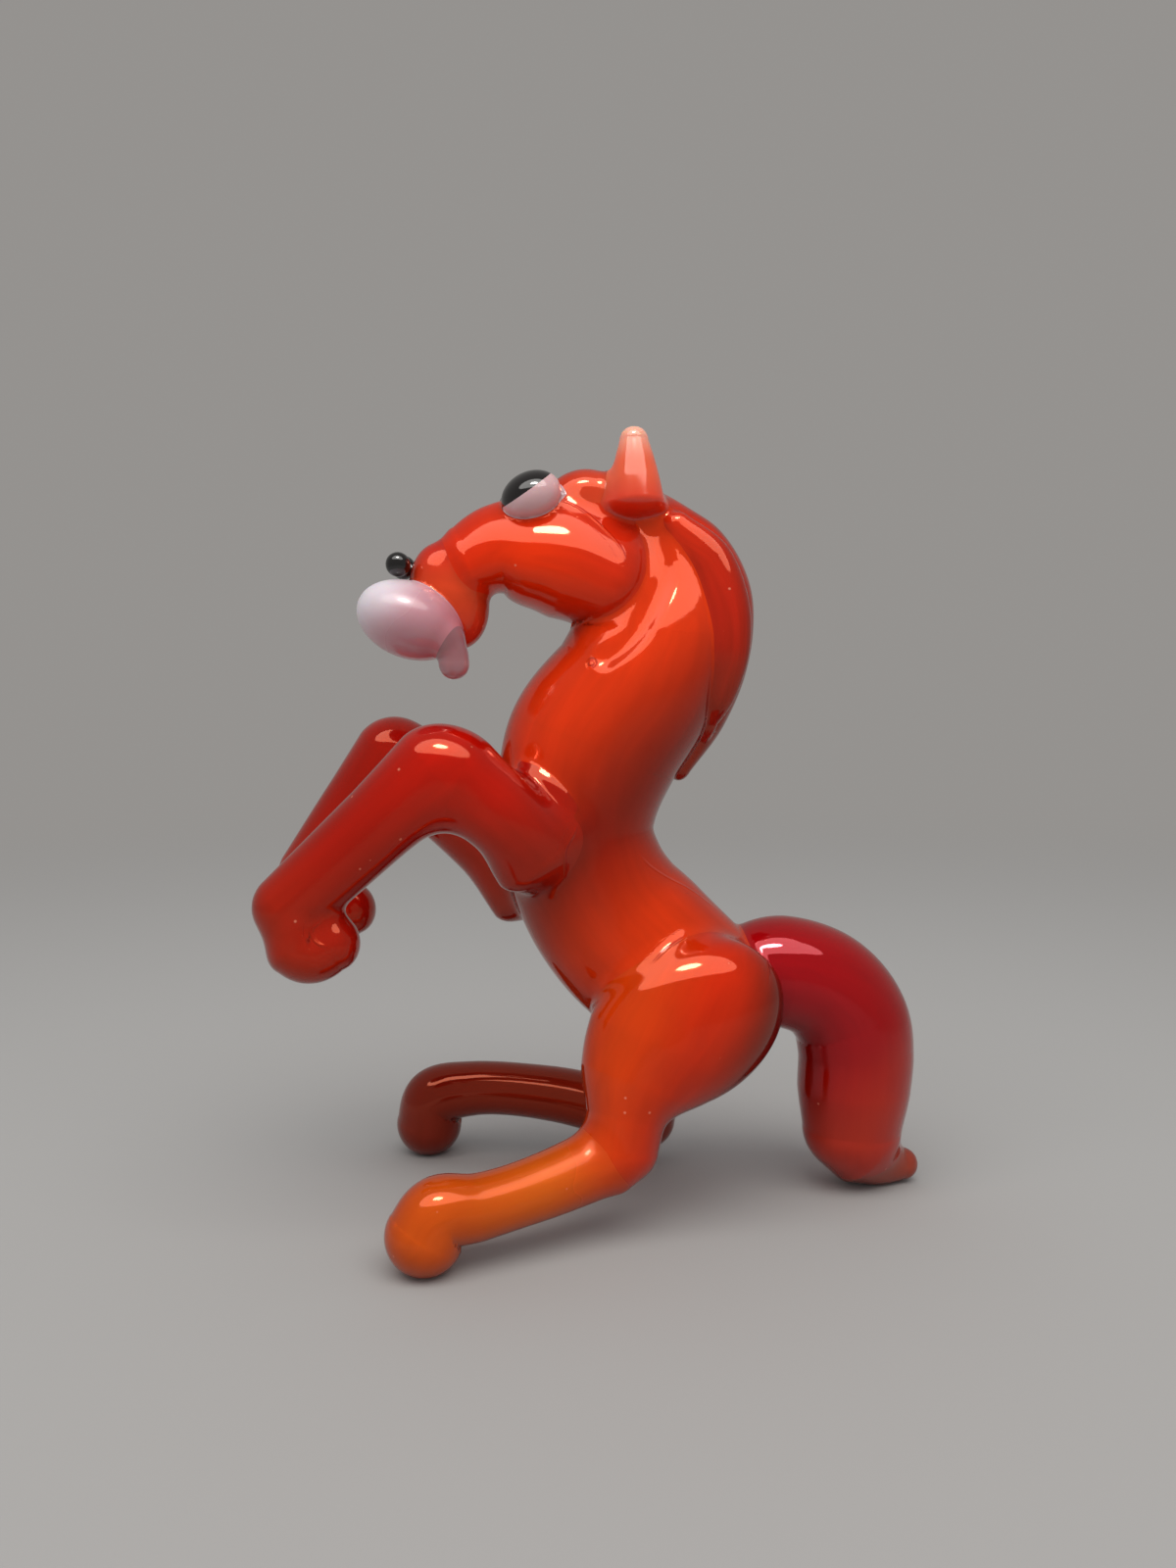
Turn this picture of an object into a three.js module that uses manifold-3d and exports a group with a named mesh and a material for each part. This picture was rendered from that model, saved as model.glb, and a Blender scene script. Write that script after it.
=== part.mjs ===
// A rearing horse of flame-worked glass, built from gathers of glass melted onto one another.
// It stands on its two hind hooves and on the tip of its tail.
// Millimetres, +Z up. The horse looks along -X, its left side is at -Y, and z = 0 is the ground.
import * as THREE from "three";
import { mergeVertices } from "three/addons/utils/BufferGeometryUtils.js";
import Module from "manifold-3d";

// The whole figure: from the fore hooves to the tip of the tail, over the two hind hooves,
// and from the ground to the tips of the ears
const figureLength = 48.3;
const figureWidth = 26.0;
const figureHeight = 55.5;

// Thickness of the rods and gathers, across the bend
const rumpThickness = 12.0;
const waistThickness = 11.2;
const neckThickness = 12.0;
const headThickness = 8.0;
const muzzleDepth = 8.2;
const upperArmThickness = 5.7;
const forearmThickness = 5.4;
const kneeThickness = 6.3;
const fetlockThickness = 4.8;
const thighDepth = 10.4;
const hockThickness = 5.0;
const shankThickness = 4.3;
const hoofThickness = 5.2;
const tailThickness = 8.4;

// Each body gather is a little narrower from side to side than it is deep
const flattening = 0.94;

// Share by which the head is narrower at the brow, and wider at the jaw, than in its middle
const browWedge = 0.3;

// Where the legs stand and hang, measured from the middle plane
const hindHoofSpread = (figureWidth - hoofThickness) / 2;
const hockSpread = 6.4;
const hipSpread = 4.9;
const forelegSpread = 5.2;

// Small gathers on the head
const eyeDiameter = 4.3;
const eyeHeight = 3.3;
const eyeTurn = 30;
const eyeLift = 0.15;
const nostrilDiameter = 1.7;
const nostrilSpread = 1.2;
const earHeight = 5.9;
const earBaseDiameter = 4.4;
const earTipDiameter = 2.05;
const earTurn = 40;
const earSpread = 2.4;
const mouthLength = 7.5;
const mouthHeight = 5.3;
const mouthWidth = 6.4;
const tongueLength = 4.1;
const tongueDiameter = 2.1;
const forelockLength = 4.6;
const forelockHeight = 3.6;

// Mane strip down the back of the neck
const maneThickness = 2.8;
const maneWidth = 5.2;
const strandThickness = 2.0;
const strandTurn = 37;

// Clearance between two gathers where one is melted onto the other
const fuseGap = 0.25;

// Corners left closer together than this by a cut are joined
const cornerMerge = 0.03;

// Fineness of the facets
const bodySides = 24;
const limbSides = 16;
const beadSides = 12;

const up = new THREE.Vector3(0, 0, 1);
const across = new THREE.Vector3(0, 1, 0);

const wasm = await Module();
wasm.setup();

// The oval section of a gather: its centre, and half its thickness in the bend and from side to side.
// The wedge is the share by which it is narrower at the outside of the bend than in its middle.
function oval(centre, thickness, width = thickness, wedge = 0) {
  return { centre, deep: thickness / 2, wide: width / 2, wedge };
}

// An oval at a place on the figure: x in percent of its length, y in millimetres from the middle
// plane, and z in percent of its height
function station(x, y, z, thickness, width = thickness, wedge = 0) {
  const centre = new THREE.Vector3((x / 100) * figureLength, y, (z / 100) * figureHeight);
  return oval(centre, thickness, width, wedge);
}

// A limb is a smooth line through its ovals, whose size changes smoothly from one to the next
function limb(ovals, sides = limbSides, steps = 3) {
  const centres = ovals.map((s) => s.centre);
  const radii = ovals.map((s) => new THREE.Vector3(s.deep, s.wide, s.wedge));
  return {
    line: new THREE.CatmullRomCurve3(centres, false, "centripetal"),
    section: new THREE.CatmullRomCurve3(radii, false, "centripetal"),
    last: ovals.length - 1,
    sides,
    steps,
  };
}

// Centre, directions and radii of the limb at the number of an oval, whole or between two
function placeOn(shape, at) {
  const t = at / shape.last;
  const centre = shape.line.getPoint(t);
  const along = shape.line.getTangent(t);
  const side = across.clone().addScaledVector(along, -along.dot(across)).normalize();
  const outward = new THREE.Vector3().crossVectors(side, along);
  const section = shape.section.getPoint(t);
  return { centre, along, side, outward, deep: section.x, wide: section.y, wedge: section.z };
}

// Point on the skin of a limb: turn 0 is on the outside of its bend, 90 degrees on its +Y side
function skinPoint(shape, at, turnDegrees, lift = 0) {
  const place = placeOn(shape, at);
  const turn = THREE.MathUtils.degToRad(turnDegrees);
  return place.centre
    .clone()
    .addScaledVector(place.outward, Math.cos(turn) * (place.deep + lift))
    .addScaledVector(place.side, Math.sin(turn) * (place.wide + lift));
}

// Rings of the limb between two of its ovals. A cap is the length of a rounded end
// in half thicknesses, and 0 leaves the end flat.
function ringsOf(shape, from, to, startCap, endCap, grow) {
  const spans = Math.max(1, Math.round((to - from) * shape.steps));
  const capRings = 4;
  const rings = [];
  const addRing = (place, shift, shrink) => {
    const centre = place.centre.clone().addScaledVector(place.along, shift);
    rings.push({ place, centre, deep: (place.deep + grow) * shrink, wide: (place.wide + grow) * shrink });
  };
  const addCap = (at, length, sign) => {
    const place = placeOn(shape, at);
    for (let k = 1; k <= capRings; k += 1) {
      const step = sign < 0 ? capRings + 1 - k : k;
      const angle = (step / capRings) * (Math.PI / 2);
      addRing(place, sign * length * (place.deep + grow) * Math.sin(angle), Math.cos(angle));
    }
  };
  if (startCap > 0) addCap(from, startCap, -1);
  for (let i = 0; i <= spans; i += 1) addRing(placeOn(shape, from + ((to - from) * i) / spans), 0, 1);
  if (endCap > 0) addCap(to, endCap, 1);
  return rings;
}

// Closed skin over the rings; an end ring that has shrunk to nothing is one point
function skinOver(rings, sides) {
  const points = [];
  const faces = [];
  const first = [];
  const isPoint = (ring) => ring.deep < 1e-6;
  rings.forEach((ring) => {
    first.push(points.length);
    const count = isPoint(ring) ? 1 : sides;
    for (let j = 0; j < count; j += 1) {
      const turn = (j / sides) * Math.PI * 2;
      const reach = isPoint(ring) ? 0 : 1;
      const wedged = 1 - ring.place.wedge * Math.cos(turn);
      const point = ring.centre
        .clone()
        .addScaledVector(ring.place.outward, Math.cos(turn) * ring.deep * reach)
        .addScaledVector(ring.place.side, Math.sin(turn) * ring.wide * wedged * reach);
      points.push(point);
    }
  });
  const corner = (row, j) => first[row] + (isPoint(rings[row]) ? 0 : j % sides);
  for (let row = 0; row + 1 < rings.length; row += 1) {
    for (let j = 0; j < sides; j += 1) {
      const [a, b] = [corner(row, j), corner(row, j + 1)];
      const [c, d] = [corner(row + 1, j), corner(row + 1, j + 1)];
      if (a !== b) faces.push(a, b, c);
      if (c !== d) faces.push(b, d, c);
    }
  }
  const closeEnd = (row, flip) => {
    if (isPoint(rings[row])) return;
    const middle = points.push(rings[row].centre) - 1;
    for (let j = 0; j < sides; j += 1) {
      const [a, b] = [corner(row, j), corner(row, j + 1)];
      faces.push(middle, ...(flip ? [b, a] : [a, b]));
    }
  };
  closeEnd(0, true);
  closeEnd(rings.length - 1, false);
  const geometry = new THREE.BufferGeometry().setFromPoints(points);
  geometry.setIndex(faces);
  return geometry;
}

function loft(shape, { from = 0, to = shape.last, startCap = 0, endCap = 0, grow = 0 } = {}) {
  return skinOver(ringsOf(shape, from, to, startCap, endCap, grow), shape.sides);
}

// Part of an egg of glass between two heights, turned so that its own axis points along `axis`.
// Heights run from -1 at the bottom to 1 at the top.
function egg(centre, halfAcross, halfAlong, { axis = up, low = -1, high = 1, grow = 0, wide = 1 } = {}) {
  const arcSteps = 10;
  const start = Math.asin(low);
  const end = Math.asin(high);
  const profile = [];
  if (low > -1) profile.push(new THREE.Vector2(0, low * (halfAlong + grow)));
  for (let i = 0; i <= arcSteps; i += 1) {
    const angle = start + ((end - start) * i) / arcSteps;
    const radius = Math.abs(Math.cos(angle)) < 1e-9 ? 0 : Math.cos(angle) * (halfAcross + grow);
    profile.push(new THREE.Vector2(radius, Math.sin(angle) * (halfAlong + grow)));
  }
  if (high < 1) profile.push(new THREE.Vector2(0, high * (halfAlong + grow)));
  const geometry = new THREE.LatheGeometry(profile, beadSides);
  const turn = new THREE.Quaternion().setFromUnitVectors(across, axis.clone().normalize());
  geometry.applyQuaternion(turn);
  geometry.scale(1, wide, 1);
  geometry.translate(centre.x, centre.y, centre.z);
  return geometry;
}

// A three.js geometry as a manifold solid, with its shared corners merged
function solidOf(geometry) {
  const bare = geometry.clone();
  bare.deleteAttribute("normal");
  bare.deleteAttribute("uv");
  const merged = mergeVertices(bare, 1e-4);
  const mesh = new wasm.Mesh({
    numProp: 3,
    vertProperties: new Float32Array(merged.attributes.position.array),
    triVerts: new Uint32Array(merged.index.array),
  });
  return new wasm.Manifold(mesh);
}

function geometryOf(solid) {
  const mesh = solid.getMesh();
  const geometry = new THREE.BufferGeometry();
  geometry.setAttribute("position", new THREE.BufferAttribute(mesh.vertProperties, 3));
  geometry.setIndex(new THREE.BufferAttribute(mesh.triVerts, 1));
  return geometry;
}

// What is left of a gather after the grown shapes of its carriers are taken away
function meltedOn(geometry, ...carriers) {
  const cut = (solid, carrier) => solid.subtract(solidOf(carrier));
  const left = carriers.reduce(cut, solidOf(geometry));
  return geometryOf(left.asOriginal().simplify(cornerMerge));
}

// Everything below the ground, which grinds a flat on what rests there
function belowGround() {
  const size = figureHeight * 2;
  return new THREE.BoxGeometry(size, size, size).translate(0, 0, -size / 2);
}

// Glass colours
const glassColours = {
  body: "#cf3312",
  neck: "#d2320f",
  head: "#c62e10",
  muzzle: "#cc4a22",
  mane: "#b02c1c",
  foreleg: "#a5180f",
  thigh: "#c8380f",
  shank: "#d4591a",
  darkLeg: "#6c1e12",
  tail: "#98101a",
  tailTip: "#8d3520",
  ear: "#e8754f",
  opal: "#dccbd6",
  tongue: "#a97a80",
  black: "#0b0809",
};

function glass(colourName) {
  return new THREE.MeshStandardMaterial({
    color: glassColours[colourName],
    roughness: 0.06,
    metalness: 0,
  });
}

const horse = new THREE.Group();

function addPiece(name, geometry, colourName) {
  geometry.computeVertexNormals();
  const mesh = new THREE.Mesh(geometry, glass(colourName));
  mesh.name = name;
  horse.add(mesh);
}

// One rod runs from the rump over the waist and the chest to the poll
const chest = 5;
const trunk = limb(
  [
    station(16.6, 0, 26.8, rumpThickness * 0.97, rumpThickness * flattening),
    station(8.1, 0, 33.5, rumpThickness * 1.01, rumpThickness * flattening),
    station(2.9, 0, 38.6, waistThickness * 1.04, waistThickness * flattening),
    station(-0.2, 0, 43.8, waistThickness, waistThickness * flattening),
    station(-1.7, 0, 49.9, waistThickness, waistThickness * flattening),
    station(0.6, 0, 59.8, neckThickness * 1.05, neckThickness * flattening, -0.05),
    station(7.0, 0, 67.9, neckThickness, neckThickness * flattening, -0.15),
    station(9.9, 0, 74.6, neckThickness * 0.98, neckThickness * 0.82, -0.18),
    station(8.3, 0, 81.4, neckThickness * 0.97, neckThickness * 0.68, -0.1),
    station(3.3, 0, 84.9, neckThickness * 0.9, neckThickness * 0.62),
  ],
  bodySides,
);
const trunkCaps = { startCap: 0.95, endCap: 0.75 };

// The head reaches from inside the poll to the muzzle
const head = limb([
  station(2.9, 0, 82.3, headThickness * 1.05, headThickness * 1.12, browWedge),
  station(-3.3, 0, 84.3, headThickness * 1.12, headThickness * 1.1, browWedge),
  station(-8.7, 0, 84.9, headThickness * 0.99, headThickness, browWedge),
  station(-13.3, 0, 84.9, headThickness * 0.8, headThickness * 0.82, browWedge),
  station(-17.8, 0, 83.4, headThickness * 0.64, headThickness * 0.68, browWedge),
]);
const headCaps = { startCap: 0.8, endCap: 0.6 };

// The muzzle sits on the tip of the head, and the mouth on the front of the muzzle
const headTip = placeOn(head, head.last).centre;
const muzzleOffset = new THREE.Vector3(-0.146, 0, -0.256).multiplyScalar(muzzleDepth);
const muzzleCentre = headTip.clone().add(muzzleOffset);
const muzzleTilt = new THREE.Vector3(-0.26, 0, 0.966);
const mouthOffset = new THREE.Vector3(-0.335, -0.025, -0.25).multiplyScalar(muzzleDepth);
const mouthCentre = muzzleCentre.clone().add(mouthOffset);
const mouthTilt = new THREE.Vector3(0.34, 0, 0.94);

function trunkWith(grow) {
  return loft(trunk, { ...trunkCaps, grow });
}

function headWith(grow) {
  return loft(head, { ...headCaps, grow });
}

function muzzleWith(grow) {
  return egg(muzzleCentre, muzzleDepth * 0.33, muzzleDepth / 2, { axis: muzzleTilt, grow, wide: 1.35 });
}

function mouthWith(grow) {
  const half = mouthLength / 2;
  return egg(mouthCentre, half, mouthHeight / 2, { axis: mouthTilt, grow, wide: mouthWidth / mouthLength });
}

function addBody() {
  addPiece("torso", loft(trunk, { to: chest, startCap: trunkCaps.startCap }), "body");
  const neckSkin = loft(trunk, { from: chest, endCap: trunkCaps.endCap });
  addPiece("neck", meltedOn(neckSkin, headWith(fuseGap)), "neck");
}

function addHead() {
  addPiece("head", headWith(0), "head");
  addPiece("muzzle", meltedOn(muzzleWith(0), headWith(fuseGap)), "muzzle");
  addPiece("mouth", meltedOn(mouthWith(0), muzzleWith(fuseGap), headWith(fuseGap)), "opal");
}

// The tongue is a drop that hangs from the left corner of the mouth
function addTongue() {
  const top = mouthCentre.clone().add(new THREE.Vector3(mouthLength * 0.37, -mouthWidth * 0.3, 0));
  const slant = new THREE.Vector3(tongueDiameter * 0.1, -tongueDiameter * 0.05, 0);
  const bottom = tongueLength - tongueDiameter / 2;
  const drop = limb(
    [
      oval(top, tongueDiameter * 0.95),
      oval(top.clone().add(slant).addScaledVector(up, -bottom * 0.6), tongueDiameter * 0.95),
      oval(top.clone().add(slant).addScaledVector(up, -bottom), tongueDiameter),
    ],
    beadSides,
  );
  const skin = loft(drop, { startCap: 1, endCap: 1 });
  addPiece("tongue", meltedOn(skin, mouthWith(fuseGap), muzzleWith(fuseGap)), "tongue");
}

function addNostril(name, side) {
  const offset = new THREE.Vector3(-0.41 + 0.02 * side, 0, 0.213).multiplyScalar(muzzleDepth);
  const centre = muzzleCentre.clone().add(offset).setY(side * nostrilSpread);
  const bead = egg(centre, nostrilDiameter / 2, nostrilDiameter / 2);
  addPiece(name, meltedOn(bead, muzzleWith(fuseGap), headWith(fuseGap), mouthWith(fuseGap)), "black");
}

// A white eyeball with a black cap over its front and top; both are cut flat where they meet
function addEye(sideName, side) {
  const centre = skinPoint(head, 2.1, side * eyeTurn, eyeLift);
  const axis = new THREE.Vector3(-0.45, side * 0.2, 0.89);
  const pupilEdge = 0.3;
  const eyePart = (range) => egg(centre, eyeDiameter / 2, eyeHeight / 2, { axis, ...range });
  const around = [headWith(fuseGap), trunkWith(fuseGap)];
  addPiece(`${sideName}_eyeball`, meltedOn(eyePart({ high: pupilEdge }), ...around), "opal");
  addPiece(`${sideName}_pupil`, meltedOn(eyePart({ low: pupilEdge }), ...around), "black");
}

function forelockWith(grow) {
  const centre = skinPoint(head, 0.93, 0);
  return egg(centre, forelockLength / 2, forelockHeight / 2, { grow, wide: 0.9 });
}

function addForelock() {
  addPiece("forelock", meltedOn(forelockWith(0), trunkWith(fuseGap), headWith(fuseGap)), "head");
}

function addEar(name, side) {
  const foot = skinPoint(trunk, 8.83 - 0.17 * side, side * earTurn, -0.25 * earBaseDiameter);
  foot.y = side * earSpread;
  const rise = new THREE.Vector3(-earBaseDiameter * 0.17, -side * earBaseDiameter * 0.16, earHeight);
  const cone = limb(
    [
      [0, earBaseDiameter],
      [0.3, earBaseDiameter * 0.84],
      [0.6, earBaseDiameter * 0.62],
      [0.82, earTipDiameter],
    ].map(([share, width]) => oval(foot.clone().addScaledVector(rise, share), width)),
    beadSides,
    2,
  );
  const skin = loft(cone, { endCap: 1 });
  addPiece(name, meltedOn(skin, trunkWith(fuseGap), headWith(fuseGap), forelockWith(fuseGap)), "ear");
}

// The crest of the mane lies on the back of the neck and ends in a free tip above the withers
const crest = limb(
  [
    [8.54, -0.43, 0.75, 0.6],
    [8.0, -0.26, 1, 0.85],
    [7.55, -0.08, 1.05, 1],
    [7.11, -0.07, 1.05, 1],
    [6.68, -0.07, 1, 0.92],
    [6.02, -0.02, 0.85, 0.7],
    [5.54, 0.07, 0.45, 0.32],
  ].map(([at, lift, thickness, width]) => {
    const centre = skinPoint(trunk, at, 0, lift * maneThickness);
    return oval(centre, thickness * maneThickness, width * maneWidth);
  }),
  limbSides,
  2,
);

function crestWith(grow) {
  return loft(crest, { startCap: 0.8, endCap: 1.6, grow });
}

function addCrest() {
  addPiece("mane_crest", meltedOn(crestWith(0), trunkWith(fuseGap)), "mane");
}

function addStrand(name, side) {
  const strand = limb(
    [
      [8.27, -0.17, 0.7],
      [7.84, 0.05, 1],
      [7.34, 0.15, 1.05],
      [6.87, 0.1, 0.9],
      [6.37, 0.06, 0.5],
    ].map(([at, lift, thickness]) => {
      const centre = skinPoint(trunk, at, side * strandTurn, lift * strandThickness);
      return oval(centre, thickness * strandThickness);
    }),
    beadSides,
    2,
  );
  const skin = loft(strand, { startCap: 1, endCap: 1 });
  addPiece(name, meltedOn(skin, trunkWith(fuseGap), crestWith(fuseGap)), "mane");
}

// A foreleg: an upper arm pressed on the chest, a forearm from the knee to the fetlock,
// and a hoof curled back under it
function addForeleg(sideName, side, places) {
  const on = ([x, z], thickness, width, spread = forelegSpread) =>
    station(x, side * spread, z, thickness, width);
  const { shoulder, arm, armKnee, knee, shin, fetlock, toeTurn, toe, toeEnd } = places;
  const forearm = limb([
    on(knee, kneeThickness, kneeThickness * flattening),
    on(shin, forearmThickness, forearmThickness * flattening),
    on(fetlock, fetlockThickness, fetlockThickness * flattening),
  ]);
  const forearmWith = (grow) => loft(forearm, { startCap: 1, endCap: 1, grow });
  const upperArm = limb([
    on(shoulder, upperArmThickness * 1.2, upperArmThickness * 0.82, forelegSpread * 0.98),
    on(arm, upperArmThickness, upperArmThickness * flattening),
    on(armKnee, upperArmThickness * 1.05, upperArmThickness * flattening),
  ]);
  const hoof = limb([
    on(toeTurn, fetlockThickness * 0.94, fetlockThickness * flattening),
    on(toe, fetlockThickness * 0.94, fetlockThickness * flattening),
    on(toeEnd, fetlockThickness * 0.84, fetlockThickness * 0.84),
  ]);
  const armSkin = loft(upperArm, { startCap: 0.6, endCap: 0.4 });
  const hoofSkin = loft(hoof, { startCap: 0.75, endCap: 0.9 });
  const armLeft = meltedOn(armSkin, trunkWith(fuseGap), forearmWith(fuseGap));
  addPiece(`${sideName}_upper_foreleg`, armLeft, "foreleg");
  addPiece(`${sideName}_forearm`, forearmWith(0), "foreleg");
  addPiece(`${sideName}_fore_hoof`, meltedOn(hoofSkin, forearmWith(fuseGap)), "foreleg");
}

// Places of the legs, as [percent of the length, percent of the height]
const leftForeleg = {
  shoulder: [-8.4, 47.4],
  arm: [-13.0, 51.9],
  armKnee: [-19.0, 56.2],
  knee: [-22.6, 57.5],
  shin: [-30.2, 51.5],
  fetlock: [-42.7, 41.4],
  toeTurn: [-42.1, 37.2],
  toe: [-39.8, 36.2],
  toeEnd: [-36.9, 37.1],
};

const rightForeleg = {
  shoulder: [-8.3, 40.7],
  arm: [-14.5, 46.5],
  armKnee: [-24.0, 54.8],
  knee: [-28.8, 58.0],
  shin: [-34.0, 52.3],
  fetlock: [-41.8, 42.7],
  toeTurn: [-40.8, 37.8],
  toe: [-38.7, 36.9],
  toeEnd: [-35.8, 37.8],
};

// A hind leg: an egg-shaped thigh that narrows to the hock, a shank from the hock forwards,
// and a hoof that bends down to the ground
function addHindLeg(sideName, side, places, colours) {
  const { hip, thigh, lowerThigh, calf, hock, shankTop, shankMiddle, pastern, hoofTop, hoofFoot } = places;
  const on = ([x, z], spread, thickness, width) => station(x, side * spread, z, thickness, width);
  const splay = (value) => hockSpread + (hindHoofSpread - hockSpread) * value;
  const haunch = limb([
    on(hip, hipSpread * 0.94, thighDepth * 0.9, thighDepth * 0.7),
    on(thigh, hipSpread, thighDepth * 1.01, thighDepth * 0.76),
    on(lowerThigh, hipSpread * 1.12, thighDepth * 0.76, thighDepth * 0.66),
    on(calf, hockSpread * 0.94, hockThickness * 1.1),
    on(hock, hockSpread, hockThickness),
  ]);
  const haunchWith = (grow) => loft(haunch, { startCap: 0.75, endCap: 0.95, grow });
  const foot = limb([
    on(shankTop, splay(0), shankThickness * 1.1),
    on(shankMiddle, splay(0.42), shankThickness),
    on(pastern, splay(0.8), shankThickness),
    on(hoofTop, splay(0.95), hoofThickness * 0.94),
    on(hoofFoot, splay(1), hoofThickness),
  ]);
  const ankle = 2;
  const thighSkin = meltedOn(haunchWith(0), trunkWith(fuseGap));
  const shankSkin = meltedOn(loft(foot, { to: ankle, startCap: 0.5 }), haunchWith(fuseGap));
  const hoofSkin = meltedOn(loft(foot, { from: ankle, endCap: 0.98 }), belowGround());
  addPiece(`${sideName}_thigh`, thighSkin, colours.thigh);
  addPiece(`${sideName}_shank`, shankSkin, colours.shank);
  addPiece(`${sideName}_hind_hoof`, hoofSkin, colours.shank);
  return haunchWith;
}

const leftHindLeg = {
  hip: [19.0, 26.6],
  thigh: [13.0, 23.8],
  lowerThigh: [6.3, 19.7],
  calf: [3.5, 14.8],
  hock: [2.9, 11.0],
  shankTop: [0.8, 9.4],
  shankMiddle: [-8.3, 7.7],
  pastern: [-17.4, 6.7],
  hoofTop: [-22.8, 6.5],
  hoofFoot: [-24.6, 4.2],
};

const rightHindLeg = {
  hip: [17.2, 28.3],
  thigh: [14.1, 24.1],
  lowerThigh: [12.0, 18.7],
  calf: [11.2, 12.3],
  hock: [10.8, 6.1],
  shankTop: [8.3, 7.2],
  shankMiddle: [-4.1, 9.2],
  pastern: [-17.0, 9.5],
  hoofTop: [-23.2, 7.9],
  hoofFoot: [-24.2, 4.1],
};

// The tail is a thick rod that bends down to the ground and runs out in a small turned-up tip
function addTail(thighs) {
  const tail = limb(
    [
      station(23.4, 0, 29.4, tailThickness * 0.84),
      station(29.8, 0, 29.7, tailThickness * 0.98),
      station(36.6, 0, 27.6, tailThickness),
      station(40.8, 0, 23.4, tailThickness * 1.02),
      station(42.0, 0, 18.7, tailThickness * 1.02),
      station(41.8, 0, 13.3, tailThickness),
      station(41.6, 0, 7.9, tailThickness * 0.88),
    ],
    limbSides,
    2,
  );
  const tailWith = (grow) => loft(tail, { startCap: 0.4, endCap: 0.95, grow });
  const tip = limb([
    station(43.3, 0, 4.7, tailThickness * 0.62),
    station(46.0, 0, 3.0, tailThickness * 0.46),
    station(48.9, 0, 2.4, tailThickness * 0.33),
    station(50.1, 0, 2.3, tailThickness * 0.28),
  ]);
  const tipSkin = loft(tip, { startCap: 0.5, endCap: 0.95 });
  const around = thighs.map((thighWith) => thighWith(fuseGap));
  addPiece("tail", meltedOn(tailWith(0), trunkWith(fuseGap), ...around), "tail");
  addPiece("tail_tip", meltedOn(tipSkin, tailWith(fuseGap), belowGround()), "tailTip");
}

addBody();
addHead();
addTongue();
addForelock();
addCrest();
for (const [sideName, side] of [["left", -1], ["right", 1]]) {
  addNostril(`${sideName}_nostril`, side);
  addEye(sideName, side);
  addEar(`${sideName}_ear`, side);
  addStrand(`mane_${sideName}_strand`, side);
}
addForeleg("left", -1, leftForeleg);
addForeleg("right", 1, rightForeleg);
const thighs = [
  addHindLeg("left", -1, leftHindLeg, { thigh: "thigh", shank: "shank" }),
  addHindLeg("right", 1, rightHindLeg, { thigh: "thigh", shank: "darkLeg" }),
];
addTail(thighs);

// The origin is on the ground under the middle of the whole figure
const box = new THREE.Box3().setFromObject(horse);
const middle = box.getCenter(new THREE.Vector3());
horse.position.set(-middle.x, -middle.y, -box.min.z);

export default horse;
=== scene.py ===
# A rearing horse of flame-worked glass: opaque orange and red glass under a clear skin.
# Its rods and gathers are melted together as one smooth surface, which is then shared out
# between the pieces again, so that they meet in soft creases without a gap.
import math
import bpy
import numpy as np
import openvdb
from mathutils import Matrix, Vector


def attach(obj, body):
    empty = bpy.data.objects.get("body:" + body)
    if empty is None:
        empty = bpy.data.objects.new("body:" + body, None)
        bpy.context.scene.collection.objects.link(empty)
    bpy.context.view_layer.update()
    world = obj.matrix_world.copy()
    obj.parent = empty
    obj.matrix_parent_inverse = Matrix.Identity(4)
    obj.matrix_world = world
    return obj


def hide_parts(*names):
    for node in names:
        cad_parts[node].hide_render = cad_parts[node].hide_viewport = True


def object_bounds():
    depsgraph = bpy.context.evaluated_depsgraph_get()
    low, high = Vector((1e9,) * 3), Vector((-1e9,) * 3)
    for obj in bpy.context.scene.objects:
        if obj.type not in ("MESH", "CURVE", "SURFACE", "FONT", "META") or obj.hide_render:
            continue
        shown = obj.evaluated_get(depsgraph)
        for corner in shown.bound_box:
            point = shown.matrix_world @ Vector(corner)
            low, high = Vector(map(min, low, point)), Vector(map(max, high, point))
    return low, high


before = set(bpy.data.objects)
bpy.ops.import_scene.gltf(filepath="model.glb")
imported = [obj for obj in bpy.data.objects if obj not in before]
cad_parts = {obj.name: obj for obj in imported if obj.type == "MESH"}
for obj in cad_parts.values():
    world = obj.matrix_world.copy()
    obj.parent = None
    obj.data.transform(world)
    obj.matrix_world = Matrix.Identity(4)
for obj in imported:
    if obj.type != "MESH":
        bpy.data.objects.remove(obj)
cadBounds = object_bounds()

millimetre = 0.001
figure = {"length": 48.3, "width": 26.0, "height": 55.5}  # mm, as the part has them
frameShift = np.array([-1.144, -0.005, 0.0])  # from the horse's own middle to the frame's origin
surface = {
    "cell": 0.22,  # mm, size of the cells that the surface is found in
    "margin": 2.1,  # mm, how far round a gather its field is worked out, more than any melt
    "capShare": 0.6,  # of a rod's longest cap, by which its box is widened as well
    "leastStretch": 0.3,  # keeps the places past the middle of a bend apart
    "samplesPerSpan": 16,
    "slopeStep": 0.04,  # mm, over which the slope of a field is measured
    "band": 4,  # cells on each side of the surface in which the field is kept
    "pad": 2,  # cells round the gathers
    "underGround": 2.5,  # cells
    "fill": 4,  # bands, the field of a cell where no gather is near
    "far": 50.0,  # mm, the same for a point
    "longestMove": 0.5,  # cells, how far a point settles in one turn
    "longSettle": 8,  # turns for a point that starts off the surface
    "leastSlope": 0.1,  # of the squared slope that is divided by
}
scene = bpy.context.scene
nearestPointsAtOnce = 200000
samePoint = 1e-4  # two points of a line that are nearer than this count as one
sides = (("left", -1), ("right", 1))
flat = 0.94  # width of most rods, as a share of their thickness
up = np.array([0.0, 0.0, 1.0])
across = np.array([0.0, 1.0, 0.0])


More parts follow.
